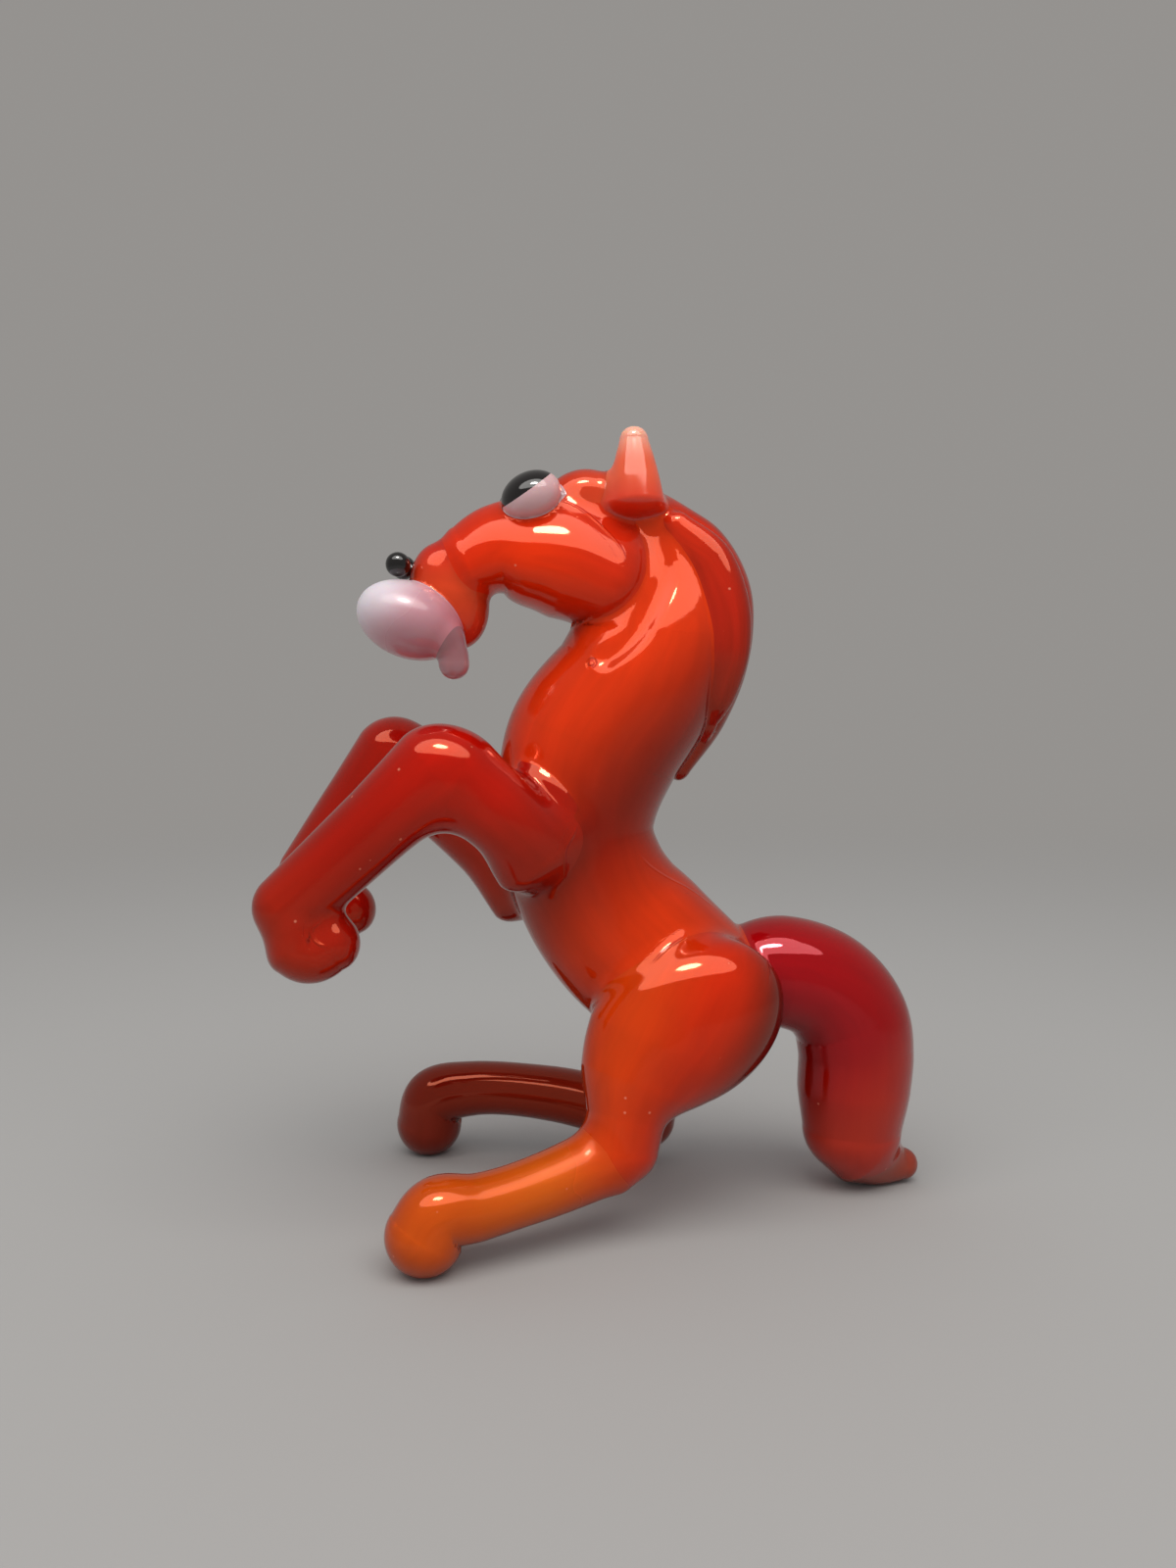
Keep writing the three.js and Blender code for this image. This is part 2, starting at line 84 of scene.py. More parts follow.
def unit(v):
    return v / np.maximum(np.linalg.norm(v, axis=-1, keepdims=True), 1e-12)


def newObject(name, data):
    made = bpy.data.objects.new(name, data)
    scene.collection.objects.link(made)
    return made


# Rods: a smooth line through ovals


def oval(centre, thickness, width=None, wedge=0.0):
    # wedge: share by which the section is narrower at the outside of the bend than in its middle
    width = thickness if width is None else width
    return [*centre, thickness / 2, width / 2, wedge]


def station(x, y, z, thickness, width=None, wedge=0.0):
    return oval((x / 100 * figure["length"], y, z / 100 * figure["height"]), thickness, width, wedge)


def lineThrough(points, at):
    # centripetal line through the points; at is a point's number, whole or between two
    points = np.asarray(points, float)
    last = len(points) - 1
    before = 2 * points[0] - points[1]
    after = 2 * points[last] - points[last - 1]
    padded = np.vstack([before, points, after])
    span = np.clip(np.floor(at).astype(int), 0, last - 1)
    t = (at - span)[:, None]
    p0, p1, p2, p3 = (padded[span + k] for k in range(4))
    pairs = ((p0, p1), (p1, p2), (p2, p3))
    d0, d1, d2 = (np.sqrt(np.linalg.norm(b - a, axis=1))[:, None] for a, b in pairs)
    d1 = np.where(d1 < samePoint, 1, d1)
    d0, d2 = np.where(d0 < samePoint, d1, d0), np.where(d2 < samePoint, d1, d2)
    m1 = ((p1 - p0) / d0 - (p2 - p0) / (d0 + d1) + (p2 - p1) / d1) * d1
    m2 = ((p2 - p1) / d1 - (p3 - p1) / (d1 + d2) + (p3 - p2) / d2) * d1
    return p1 + m1 * t + (-3 * p1 + 3 * p2 - 2 * m1 - m2) * t**2 + (2 * p1 - 2 * p2 + m1 + m2) * t**3


def placeOn(ovals, at):
    # middle, directions and half sizes of the rod at a station's number, whole or between two
    ovals = np.asarray(ovals, float)
    at = np.atleast_1d(np.asarray(at, float))
    aside = 0.002  # of a span, to either side, to find the line's direction
    last = len(ovals) - 1
    centre = lineThrough(ovals[:, :3], at)
    ahead = lineThrough(ovals[:, :3], np.minimum(at + aside, last))
    behind = lineThrough(ovals[:, :3], np.maximum(at - aside, 0))
    along = unit(ahead - behind)
    side = unit(across - along * (along @ across)[:, None])
    outward = np.cross(side, along)
    section = lineThrough(ovals[:, 3:], at)
    return centre, along, side, outward, *section.T


def skinPoint(ovals, at, turnDegrees, lift=0.0):
    centre, _, side, outward, deep, wide, _ = (v[0] for v in placeOn(ovals, at))
    turn = math.radians(turnDegrees)
    return centre + outward * math.cos(turn) * (deep + lift) + side * math.sin(turn) * (wide + lift)


def rod(name, ovals, startCap, endCap, melt, cuts=()):
    # cuts: (station, name) pairs that hand the rest of the rod to another piece
    last = len(ovals) - 1
    at = np.linspace(0, last, last * surface["samplesPerSpan"] + 1)
    centre, along, side, outward, deep, wide, wedge = placeOn(ovals, at)
    gap = np.linalg.norm(np.diff(centre, axis=0), axis=1)
    travel = np.concatenate([[0], np.cumsum(gap)])
    bend = np.gradient(along, travel, axis=0)
    caps = (startCap * deep[0], endCap * deep[-1])
    made = {
        "name": name, "kind": "rod", "melt": melt, "centre": centre, "along": along, "travel": travel,
        "side": side, "outward": outward, "gap": gap, "bend": bend, "caps": caps, "cuts": [],
        "table": np.hstack([centre, along, side, outward, deep[:, None], wide[:, None], wedge[:, None]]),
    }
    for where, newName in cuts:
        place, normal, *_ = (v[0] for v in placeOn(ovals, where))
        made["cuts"].append((place, normal, newName))
    reach = np.maximum(deep, wide * (1 + np.abs(wedge)))[:, None]
    reach = reach + max(caps) * surface["capShare"] + surface["margin"]
    made["low"] = (centre - reach).min(0)
    made["high"] = (centre + reach).max(0)
    return made


def nearestOn(made, points):
    centre = made["centre"]
    lengths = (centre**2).sum(1)
    nearest = np.empty(len(points), int)
    for start in range(0, len(points), nearestPointsAtOnce):
        part = slice(start, start + nearestPointsAtOnce)
        nearest[part] = (lengths - 2 * points[part] @ centre.T).argmin(1)
    return nearest


def rodField(made, points):
    # about the distance to the rod's skin: first the place along the rod, then the oval there
    nearest = nearestOn(made, points)
    away = points - made["centre"][nearest]
    past = (away * made["along"][nearest]).sum(1)
    past = past / np.maximum(1 - (away * made["bend"][nearest]).sum(1), surface["leastStretch"])
    last = len(made["gap"])
    share = nearest + past / made["gap"][np.clip(nearest - (past < 0), 0, last - 1)]
    share = np.clip(share, 0, last)
    lower = np.minimum(share.astype(int), last - 1)
    part = (share - lower)[:, None]
    here = made["table"][lower] * (1 - part) + made["table"][lower + 1] * part
    away = points - here[:, :3]
    u = (away * here[:, 9:12]).sum(1) + 1e-6
    v = (away * here[:, 6:9]).sum(1)
    beyond = np.where((share <= 0) | (share >= last), np.abs((away * here[:, 3:6]).sum(1)), 0)
    deep, wide, wedge = here[:, 12], here[:, 13], here[:, 14]
    v = v / (1 - wedge * np.clip(u / deep, -1, 1))
    cap = np.where(share <= 0, made["caps"][0], made["caps"][1])
    k0 = np.sqrt((u / deep) ** 2 + (v / wide) ** 2 + (beyond / cap) ** 2)
    k1 = np.sqrt((u / deep**2) ** 2 + (v / wide**2) ** 2 + (beyond / cap**2) ** 2)
    return k0 * (k0 - 1) / k1


def turnTo(axis):
    q = Vector(across).rotation_difference(Vector(axis).normalized())
    return np.array(q.to_matrix())


def egg(name, centre, halfAcross, halfAlong, melt, axis=up, wide=1.0, cuts=()):
    # cuts: (share of the half length, direction, name) that hand the part beyond to another piece
    turn = turnTo(axis)
    shape = np.diag([1, wide, 1]) @ turn @ np.diag([halfAcross, halfAlong, halfAcross])
    reach = np.sqrt((shape**2).sum(1)) + surface["margin"]
    made = {
        "name": name, "kind": "egg", "melt": melt, "centre": np.asarray(centre, float),
        "unshape": np.linalg.inv(shape), "low": centre - reach, "high": centre + reach, "cuts": [],
    }
    axis = unit(np.asarray(axis, float))
    for height, direction, newName in cuts:
        made["cuts"].append((np.asarray(centre) + axis * height * halfAlong, unit(np.array(direction)), newName))
    return made


def eggField(made, points):
    q = (points - made["centre"]) @ made["unshape"].T + 1e-6
    k0 = np.linalg.norm(q, axis=1)
    k1 = np.linalg.norm(q @ made["unshape"], axis=1)
    return k0 * (k0 - 1) / k1


def fieldOf(made, points):
    return rodField(made, points) if made["kind"] == "rod" else eggField(made, points)


def insideBox(made, points):
    return np.flatnonzero(((points > made["low"]) & (points < made["high"])).all(1))


def meltTogether(a, b, radius):
    # the smaller of two distances, rounded where they are close to each other
    blend = np.maximum(radius - np.abs(a - b), 0) / radius
    return np.minimum(a, b) - blend**2 * radius / 4


# The trunk and the head; in rows of ovals, x and z are hundredths of the length and of the height
trunk = {"rump": 12.0, "waist": 11.2, "neck": 12.0, "caps": (0.95, 0.75), "melt": 0.5, "chestCut": 5}
trunkRows = [  # x, z, which thickness, shares of it across the bend and from side to side, wedge
    (16.6, 26.8, "rump", 0.97, flat, 0), (8.1, 33.5, "rump", 1.01, flat, 0), (2.9, 38.6, "waist", 1.04, flat, 0),
    (-0.2, 43.8, "waist", 1, flat, 0), (-1.7, 49.9, "waist", 1, flat, 0), (0.6, 59.8, "neck", 1.05, flat, -0.05),
    (7.0, 67.9, "neck", 1, 1.01, 0.01), (9.9, 74.6, "neck", 0.98, 0.9, -0.07),
    (8.3, 81.4, "neck", 0.97, 0.6, -0.01), (3.3, 84.9, "neck", 0.9, 0.36, 0.2),
]
trunkOvals = [station(x, 0, z, trunk[part] * thick, trunk[part] * wide, wedge)
              for x, z, part, thick, wide, wedge in trunkRows]
gathers = [rod("torso", trunkOvals, *trunk["caps"], trunk["melt"], cuts=[(trunk["chestCut"], "neck")])]

head = {"thickness": 8.0, "caps": (0.8, 0.6), "wedge": 0.3, "melt": 0.5}
headRows = [  # x, z, shares of the thickness
    (2.9, 82.3, 1.05, 1.12), (-3.3, 84.3, 1.12, 1.1), (-8.7, 84.9, 0.99, 1), (-13.3, 84.9, 0.8, 0.82),
    (-17.8, 83.4, 0.64, 0.68),
]
headOvals = [station(x, 0, z, head["thickness"] * thick, head["thickness"] * wide, head["wedge"])
             for x, z, thick, wide in headRows]
gathers.append(rod("head", headOvals, *head["caps"], head["melt"]))

muzzle = {"depth": 8.2, "offset": (-0.146, 0, -0.256), "tilt": (-0.26, 0, 0.966), "lower": 0.3,
          "halfAcross": 0.33, "halfAlong": 0.465, "wide": 0.88, "melt": 0.85}
headTip = np.array(headOvals[-1][:3])
muzzleCentre = headTip + np.array(muzzle["offset"]) * muzzle["depth"]
gathers.append(egg("muzzle", muzzleCentre - up * muzzle["lower"], muzzle["depth"] * muzzle["halfAcross"],
                   muzzle["depth"] * muzzle["halfAlong"], muzzle["melt"], muzzle["tilt"], muzzle["wide"]))

mouth = {"length": 7.5, "height": 5.3, "width": 7.3, "offset": (-0.335, -0.12, -0.25),
         "tilt": (0.34, 0, 0.94), "melt": 0.25}
mouthCentre = muzzleCentre + np.array(mouth["offset"]) * muzzle["depth"]
gathers.append(egg("mouth", mouthCentre, mouth["length"] / 2, mouth["height"] / 2, mouth["melt"],
                   mouth["tilt"], mouth["width"] / mouth["length"]))

tongue = {"length": 4.1, "diameter": 2.1, "back": 0.37, "aside": 0.22, "sunk": 1.5, "slant": (0.1, -0.05, 0),
          "melt": 0.9}
tongueTop = mouthCentre + np.array(
    [mouth["length"] * tongue["back"], -mouth["width"] * tongue["aside"], -tongue["sunk"]])
tongueSlant = np.array(tongue["slant"]) * tongue["diameter"]
tongueDrop = tongue["length"] - tongue["diameter"] / 2 - tongue["sunk"]
gathers.append(rod("tongue", [
    oval(tongueTop, tongue["diameter"] * 0.95),
    oval(tongueTop + tongueSlant - up * tongueDrop * 0.6, tongue["diameter"] * 0.95),
    oval(tongueTop + tongueSlant - up * tongueDrop, tongue["diameter"]),
], 1, 1, tongue["melt"]))

forelock = {"length": 4.6, "height": 3.6, "at": 0.93, "wide": 0.9, "melt": 1.7}
gathers.append(egg("forelock", skinPoint(headOvals, forelock["at"], 0), forelock["length"] / 2,
                   forelock["height"] / 2, forelock["melt"], wide=forelock["wide"]))

# What the head and the neck have on both sides; directions and offsets are those of the right side
nostril = {"diameter": 1.7, "spread": 1.2, "offset": (-0.41, 0, 0.213), "stagger": 0.02, "melt": 0.15}
eye = {"diameter": 4.3, "height": 3.3, "turn": 30, "at": 2.1, "lift": 0.15, "axis": (-0.45, 0.2, 0.89),
       "pupilEdge": 0.3, "gaze": (-0.58, 0.12, 0.8), "melt": 0.15}
ear = {"height": 5.4, "base": 4.0, "at": 8.83, "stagger": 0.17, "turn": 40, "sunk": 0.25, "spread": 2.1,
       "shift": (-0.6, 0, 0.5), "lean": (-0.1, 0.16), "caps": (0.42, 1), "melt": 1.3}
earRows = [(0, 1), (0.3, 0.86), (0.6, 0.67), (0.8, 0.5125)]  # share of the height, share of the base
mane = {"thickness": 2.8, "width": 5.2, "strand": 2.0, "strandDepth": 3.0, "turn": 46, "caps": (0.8, 1.6),
        "strandCaps": (1, 3), "melt": 0.35}

# Station on the trunk, lift, share of the thickness, share of the width
crestRows = [
    [8.54, -0.43, 0.75, 0.6], [8.0, -0.26, 1, 0.85], [7.55, -0.08, 1.05, 1], [7.11, -0.07, 1.05, 1],
    [6.68, -0.07, 1, 0.92], [6.02, -0.02, 0.85, 0.7], [5.54, 0.07, 0.45, 0.32],
]
gathers.append(rod("mane_crest", [
    oval(skinPoint(trunkOvals, at, 0, lift * mane["thickness"]), thick * mane["thickness"], wide * mane["width"])
    for at, lift, thick, wide in crestRows
], *mane["caps"], mane["melt"]))
# Station on the trunk, lift, share of the thickness, share of the turn
strandRows = [
    [8.27, -0.1, 0.7, 1], [7.84, 0.16, 1, 1], [7.34, 0.27, 1.05, 1], [6.87, 0.26, 0.95, 0.93],
    [6.37, 0.18, 0.66, 0.7], [6.0, 0.08, 0.34, 0.45],
]

for sideName, side in sides:
    mirror = np.array([1, side, 1])
    nostrilCentre = muzzleCentre + np.array(nostril["offset"]) * muzzle["depth"]
    nostrilCentre[0] += nostril["stagger"] * side * muzzle["depth"]
    nostrilCentre[1] = side * nostril["spread"]
    gathers.append(egg(f"{sideName}_nostril", nostrilCentre, nostril["diameter"] / 2,
                       nostril["diameter"] / 2, nostril["melt"]))
    gathers.append(egg(f"{sideName}_eyeball", skinPoint(headOvals, eye["at"], side * eye["turn"], eye["lift"]),
                       eye["diameter"] / 2, eye["height"] / 2, eye["melt"], mirror * eye["axis"],
                       cuts=[(eye["pupilEdge"], mirror * eye["gaze"], f"{sideName}_pupil")]))
    earFoot = skinPoint(trunkOvals, ear["at"] - ear["stagger"] * side, side * ear["turn"],
                        -ear["sunk"] * ear["base"])
    earFoot[1] = side * ear["spread"]
    earFoot += ear["shift"]
    earRise = np.array([ear["lean"][0], -side * ear["base"] * ear["lean"][1], ear["height"]])
    gathers.append(rod(f"{sideName}_ear", [
        oval(earFoot + earRise * share, width * ear["base"]) for share, width in earRows
    ], *ear["caps"], ear["melt"]))
    gathers.append(rod(f"mane_{sideName}_strand", [
        oval(skinPoint(trunkOvals, at, side * turn * mane["turn"], lift * mane["strand"]),
             thickness * mane["strandDepth"], thickness * mane["strand"])
        for at, lift, thickness, turn in strandRows
    ], *mane["strandCaps"], mane["melt"]))

# The legs; places are x and z in hundredths, along each rod from the body outward
foreleg = {"spread": 5.2, "arm": 5.7, "forearm": 5.4, "knee": 6.3, "fetlock": 4.8, "melt": 0.5}
forelegPlaces = {
    "left": {
        "forearm": [(-22.6, 57.5), (-30.2, 51.5), (-42.7, 41.4)],
        "upper_foreleg": [(-8.4, 47.4), (-13.0, 51.9), (-19.0, 56.2)],
        "fore_hoof": [(-42.1, 37.2), (-39.8, 36.2), (-36.9, 37.1)],
    },
    "right": {
        "forearm": [(-28.8, 58.0), (-34.0, 52.3), (-41.8, 42.7)],
        "upper_foreleg": [(-8.3, 40.7), (-14.5, 46.5), (-24.0, 54.8)],
        "fore_hoof": [(-40.8, 37.8), (-38.7, 36.9), (-35.8, 37.8)],
    },
}
forelegRods = {  # ovals as share of the spread, which thickness and shares of it; caps; share of the melt
    "forearm": ([(1, "knee", 1, flat), (1, "forearm", 1, flat), (1, "fetlock", 1, flat)], (1, 1), 1),
    "upper_foreleg": ([(0.84, "arm", 1.2, 0.82), (1, "arm", 1, flat), (1, "arm", 1.05, flat)], (0.6, 0.95), 4),
    "fore_hoof": ([(1, "fetlock", 0.94, flat), (1, "fetlock", 0.94, flat), (1, "fetlock", 0.84, 0.84)],
                  (0.75, 0.9), 2.4),
}
for sideName, side in sides:
    for piece, (rows, caps, melt) in forelegRods.items():
        ovals = [station(x, side * foreleg["spread"] * out, z, foreleg[part] * thick, foreleg[part] * wide)
                 for (x, z), (out, part, thick, wide) in zip(forelegPlaces[sideName][piece], rows)]
        gathers.append(rod(f"{sideName}_{piece}", ovals, *caps, foreleg["melt"] * melt))

hindLeg = {"hip": 4.9, "hock": 6.4, "thigh": 10.4, "hockThickness": 5.0, "shank": 4.3, "hoof": 5.2,
           "thighCaps": (0.75, 0.95), "shankCaps": (0.5, 0.98), "hoofCut": 2, "melt": 1.3}
hoofSpread = (figure["width"] - hindLeg["hoof"]) / 2
hindLegPlaces = {
    "left": {
        "thigh": [(8.1, 22.5), (5.3, 18.2), (3.9, 14.4), (3.3, 10.8)],
        "shank": [(0.8, 9.4), (-8.3, 7.7), (-17.4, 6.7), (-22.8, 6.5), (-24.6, 4.2)],
    },
    "right": {
        "thigh": [(17.2, 28.3), (14.1, 24.1), (12.0, 18.7), (11.2, 12.3), (10.8, 6.1)],
        "shank": [(8.3, 7.2), (-4.1, 9.2), (-17.0, 9.5), (-23.2, 7.9), (-24.2, 4.1)],
    },
}
# Which spread and share of it, which thickness and shares of it
hockRows = [("hock", 0.94, "hockThickness", 1.12, 1.12), ("hock", 1, "hockThickness", 1, 1)]
thighRows = {
    "left": [("hip", 1, "thigh", 0.84, 0.7), ("hip", 1.12, "thigh", 0.74, 0.66), *hockRows],
    "right": [("hip", 0.94, "thigh", 0.9, 0.7), ("hip", 1, "thigh", 1.01, 0.76),
              ("hip", 1.12, "thigh", 0.76, 0.66), *hockRows],
}
# Share of the way out from the hock to the hoof, which thickness and share of it
shankRows = [(0, "shank", 1.1), (0.42, "shank", 1), (0.8, "shank", 1), (0.95, "hoof", 0.94), (1, "hoof", 1)]

# The rounded mass of the left thigh; its place is x and z in mm, its sizes are shares of the thigh's
ham = {"at": (6.3, 14.1), "axis": (0.87, 0, 0.5), "halfAcross": 0.54, "halfAlong": 0.7, "wide": 0.7}
hamAt = np.array([ham["at"][0], -hindLeg["hip"], ham["at"][1]])
gathers.append(egg("left_thigh", hamAt, hindLeg["thigh"] * ham["halfAcross"], hindLeg["thigh"] * ham["halfAlong"],
                   hindLeg["melt"], ham["axis"], ham["wide"]))
for sideName, side in sides:
    places = hindLegPlaces[sideName]
    gathers.append(rod(f"{sideName}_thigh", [
        station(x, side * hindLeg[spread] * out, z, hindLeg[part] * thick, hindLeg[part] * wide)
        for (x, z), (spread, out, part, thick, wide) in zip(places["thigh"], thighRows[sideName])
    ], *hindLeg["thighCaps"], hindLeg["melt"]))
    gathers.append(rod(f"{sideName}_shank", [
        station(x, side * (hindLeg["hock"] + (hoofSpread - hindLeg["hock"]) * splay), z, hindLeg[part] * share)
        for (x, z), (splay, part, share) in zip(places["shank"], shankRows)
    ], *hindLeg["shankCaps"], hindLeg["melt"], cuts=[(hindLeg["hoofCut"], f"{sideName}_hind_hoof")]))

# The tail
tail = {"thickness": 8.4, "caps": (0.4, 0.95), "tipCaps": (0.5, 0.95), "melt": 0.5, "tipMelt": 1.5}
tailRows = [  # x, z, share of the thickness
    (23.4, 29.4, 0.84), (29.8, 29.7, 0.98), (36.6, 27.6, 1), (40.8, 23.4, 1.02), (42.0, 18.7, 1.02),
    (41.8, 13.3, 1), (41.6, 7.9, 0.88),
]
tipRows = [(43.3, 4.7, 0.62), (46.0, 3.0, 0.46), (48.9, 2.4, 0.33), (50.1, 2.3, 0.28)]
for name, rows, caps, melt in (("tail", tailRows, tail["caps"], tail["melt"]),
                               ("tail_tip", tipRows, tail["tipCaps"], tail["tipMelt"])):
    ovals = [station(x, 0, z, tail["thickness"] * share) for x, z, share in rows]
    gathers.append(rod(name, ovals, *caps, melt))

# The fold where each upper foreleg was laid on, and a groove down each side of the neck
fold = {"thickness": 0.5, "width": 0.9, "sink": 0.16, "melt": 0.4}
foldPlaces = [  # x, y and z in mm, share of the fold's size
    (-4.9, 3.5, 32.3, 0.3), (-4.1, 4.2, 31.6, 0.9), (-3.2, 4.8, 30.7, 1.1), (-2.4, 5.2, 30.0, 0.9),
    (-1.7, 5.3, 29.4, 0.3),
]
groove = {"radius": 0.6, "depth": 0.22, "melt": 0.9}
groovePlaces = [  # station on the trunk, degrees round it
    (8.45, -66), (8.14, -77), (7.86, -85), (7.55, -96), (7.02, -109), (6.41, -117), (6.1, -123),
]
grooves = []
print("gathers:", len(gathers))


# The melted surface


def carve(field, tool, radius):
    return -meltTogether(-field, tool, radius)


def nearestGather(points):
    least = np.full(len(points), surface["far"])
    nearest = np.full(len(points), -1)
    for index, made in enumerate(gathers):
        near = insideBox(made, points)
        d = fieldOf(made, points[near])
        closer = d < least[near]
        least[near[closer]], nearest[near[closer]] = d[closer], index
    return nearest


def glassField(points):
    # distance to the melted surface, below zero in the glass, which the ground cuts off flat
    field = np.full(len(points), surface["far"])
    for combine, parts in ((meltTogether, gathers), (carve, grooves)):
        for made in parts:
            near = insideBox(made, points)
            if len(near):
                field[near] = combine(field[near], fieldOf(made, points[near]), made["melt"])
    return np.maximum(field, -points[:, 2])


def slopeOf(points, valueAt=glassField):
    # direction in which the value grows
    step = surface["slopeStep"]
    slope = np.empty_like(points)
    for k in range(3):
        shift = np.zeros(3)
        shift[k] = step
        slope[:, k] = (valueAt(points + shift) - valueAt(points - shift)) / (2 * step)
    return slope


def settle(points, turns=2):
    # moves points down or up the field's slope until they lie on the surface
    limit = surface["longestMove"] * surface["cell"]
    for _ in range(turns):
        slope = slopeOf(points)
        size = np.maximum((slope**2).sum(1), surface["leastSlope"])
        move = -(glassField(points) / size)[:, None] * slope
        points = points + np.clip(move, -limit, limit)
    return points


def onSkin(places):
    # places on the surface and its direction there
    places = settle(np.asarray(places, float), surface["longSettle"])
    return places, unit(slopeOf(places))


for sideName, side in sides:
    places, outwards = onSkin([(x, side * y, z) for x, y, z, _ in foldPlaces])
    gathers.append(rod(f"{sideName}_upper_foreleg", [
        oval(place - outward * fold["sink"], share * fold["width"], share * fold["thickness"])
        for place, outward, (*_, share) in zip(places, outwards, foldPlaces)
    ], 1, 1, fold["melt"]))
for side in (1, -1):
    places, outwards = onSkin([skinPoint(trunkOvals, at, side * turn) for at, turn in groovePlaces])
    grooves.append(rod("groove", [
        oval(place + outward * (groove["radius"] - groove["depth"]), groove["radius"] * 2)
        for place, outward in zip(places, outwards)
    ], 1, 1, groove["melt"]))

cell = surface["cell"]
low = np.min([m["low"] for m in gathers], axis=0) - surface["pad"] * cell
high = np.max([m["high"] for m in gathers], axis=0) + surface["pad"] * cell
low[2] = -surface["underGround"] * cell
counts = np.ceil((high - low) / cell).astype(int) + 1
band = surface["band"] * cell
field = np.full(counts, band * surface["fill"])
ticks = [low[k] + cell * np.arange(counts[k]) for k in range(3)]
for combine, parts in ((meltTogether, gathers), (carve, grooves)):
    for made in parts:
        a = np.maximum(np.floor((made["low"] - low) / cell).astype(int), 0)
        b = np.minimum(np.ceil((made["high"] - low) / cell).astype(int), counts)
        grid = np.stack(np.meshgrid(*(ticks[k][a[k]:b[k]] for k in range(3)), indexing="ij"), -1)
        d = fieldOf(made, grid.reshape(-1, 3)).reshape(grid.shape[:3])
        block = tuple(slice(a[k], b[k]) for k in range(3))
        field[block] = combine(field[block], d, made["melt"])
field = np.maximum(field, -ticks[2][None, None, :])
grid = openvdb.FloatGrid(band)
grid.copyFromArray(np.clip(field, -band, band).astype(np.float32))
points, quads = grid.convertToQuads()
points = settle(low + np.asarray(points, float) * cell)
quads = np.asarray(quads, int)
print("surface:", len(points), "points", len(quads), "faces")


# Which piece each face belongs to: the gather that is nearest, handed on where the gather is cut


def pieceAt(points, gatherIndex):
    names = np.empty(len(points), int)
    for index, made in enumerate(gathers):
        mine = np.flatnonzero(gatherIndex == index)
        name = np.full(len(mine), pieceNames.index(made["name"]))
        for where, normal, newName in made["cuts"]:
            past = (points[mine] - where) @ normal > 0
            name[past] = pieceNames.index(newName)
        names[mine] = name
    return names


pieceNames = []
for made in gathers:
    for newName in (made["name"], *(cut[2] for cut in made["cuts"])):
        if newName not in pieceNames:
            pieceNames.append(newName)

middles = points[quads].mean(1)
faceGather = nearestGather(middles)
facePiece = pieceAt(middles, faceGather)


def rangeAtCorners(faceNumbers):
    # lowest and highest number of the faces that meet at each corner
    least = np.full(len(points), faceNumbers.max())
    most = np.full(len(points), faceNumbers.min())
    for k in range(4):
        np.minimum.at(least, quads[:, k], faceNumbers)
        np.maximum.at(most, quads[:, k], faceNumbers)
    return least, most


# Corners on the border between two pieces slide onto the line where both are equally near
lowPiece, highPiece = rangeAtCorners(facePiece)
lowGather, highGather = rangeAtCorners(faceGather)
border = np.flatnonzero(lowPiece != highPiece)
borderMove = {"turns": 3, "leastSlope": 0.02, "longest": 0.45}  # longest as a share of a cell


def balance(where, one, other):
    # how much nearer the one gather is than the other; past a cut, how far it is from the cut
    nearer = np.zeros(len(where))
    for pair in set(zip(one.tolist(), other.tolist())):
        mine = np.flatnonzero((one == pair[0]) & (other == pair[1]))
        a, b = gathers[pair[0]], gathers[pair[1]]
        if pair[0] == pair[1]:
            place, normal, _ = a["cuts"][0]
            nearer[mine] = (where[mine] - place) @ normal
        else:
            nearer[mine] = fieldOf(a, where[mine]) - fieldOf(b, where[mine])
    return nearer


one, other = lowGather[border], highGather[border]
moved = points[border]
for _ in range(borderMove["turns"]):
    value = balance(moved, one, other)
    slope = slopeOf(moved, lambda where: balance(where, one, other))
    normal = unit(slopeOf(moved))
    slope -= normal * (slope * normal).sum(1)[:, None]
    size = (slope**2).sum(1)
    least = borderMove["leastSlope"]
    step = -np.where(size > least, value / np.maximum(size, least), 0)[:, None] * slope
    length = np.linalg.norm(step, axis=1, keepdims=True)
    step *= np.minimum(1, borderMove["longest"] * cell / np.maximum(length, 1e-9))
    moved = settle(moved + step, 1)
points[border] = moved
normals = unit(slopeOf(points))
onGround = points[:, 2] < 1e-3
points[onGround, 2] = 0
print("borders:", len(border), "corners moved")


# Fine creases where one gather was lapped over the next; each is seen on both sides of the horse
creaseForm = {
    "reach": 0.7,  # mm, how far from a crease its distance is kept
    "points": 60,  # along each crease
    "settleTurns": 6,
    "fadePoints": 14,  # at each end, over which it fades
    "pastEnd": 0.3,  # mm
    "deep": 0.5,  # mm off the surface, from which it fades
}
creases = {  # places in mm on the left side, and strength
    "lapOfArm": ([(-1.4, -5.7, 28.4), (-2.1, -6.6, 26.5), (-2.3, -5.2, 24.6)], 0.8),
    "waist": ([(3.1, -4.2, 26.0), (4.04, -3.65, 24.97), (6.71, -2.56, 23.35), (9.4, -1.6, 21.4)], 0.6),
    "rump": ([(6.4, -4.9, 20.2), (5.1, -5.48, 19.44), (4.2, -5.7, 18.1)], 1.0),
    "tailRoot": ([(10.5, -2.6, 19.2), (10.84, -3.93, 18.24), (11.23, -6.74, 16.82)], 0.7),
    "hoofCoil": ([(-18.3, -6.8, 22.4), (-19.0, -7.0, 21.7), (-18.7, -7.2, 21.0), (-17.9, -7.2, 20.6)], 1.0),
    "cheek": ([(-3.2, -1.9, 50.8), (-1.97, -2.18, 50.24), (0.28, -3.21, 48.94), (1.68, -3.83, 47.24),
               (2.22, -4.29, 45.55)], 0.8),
}
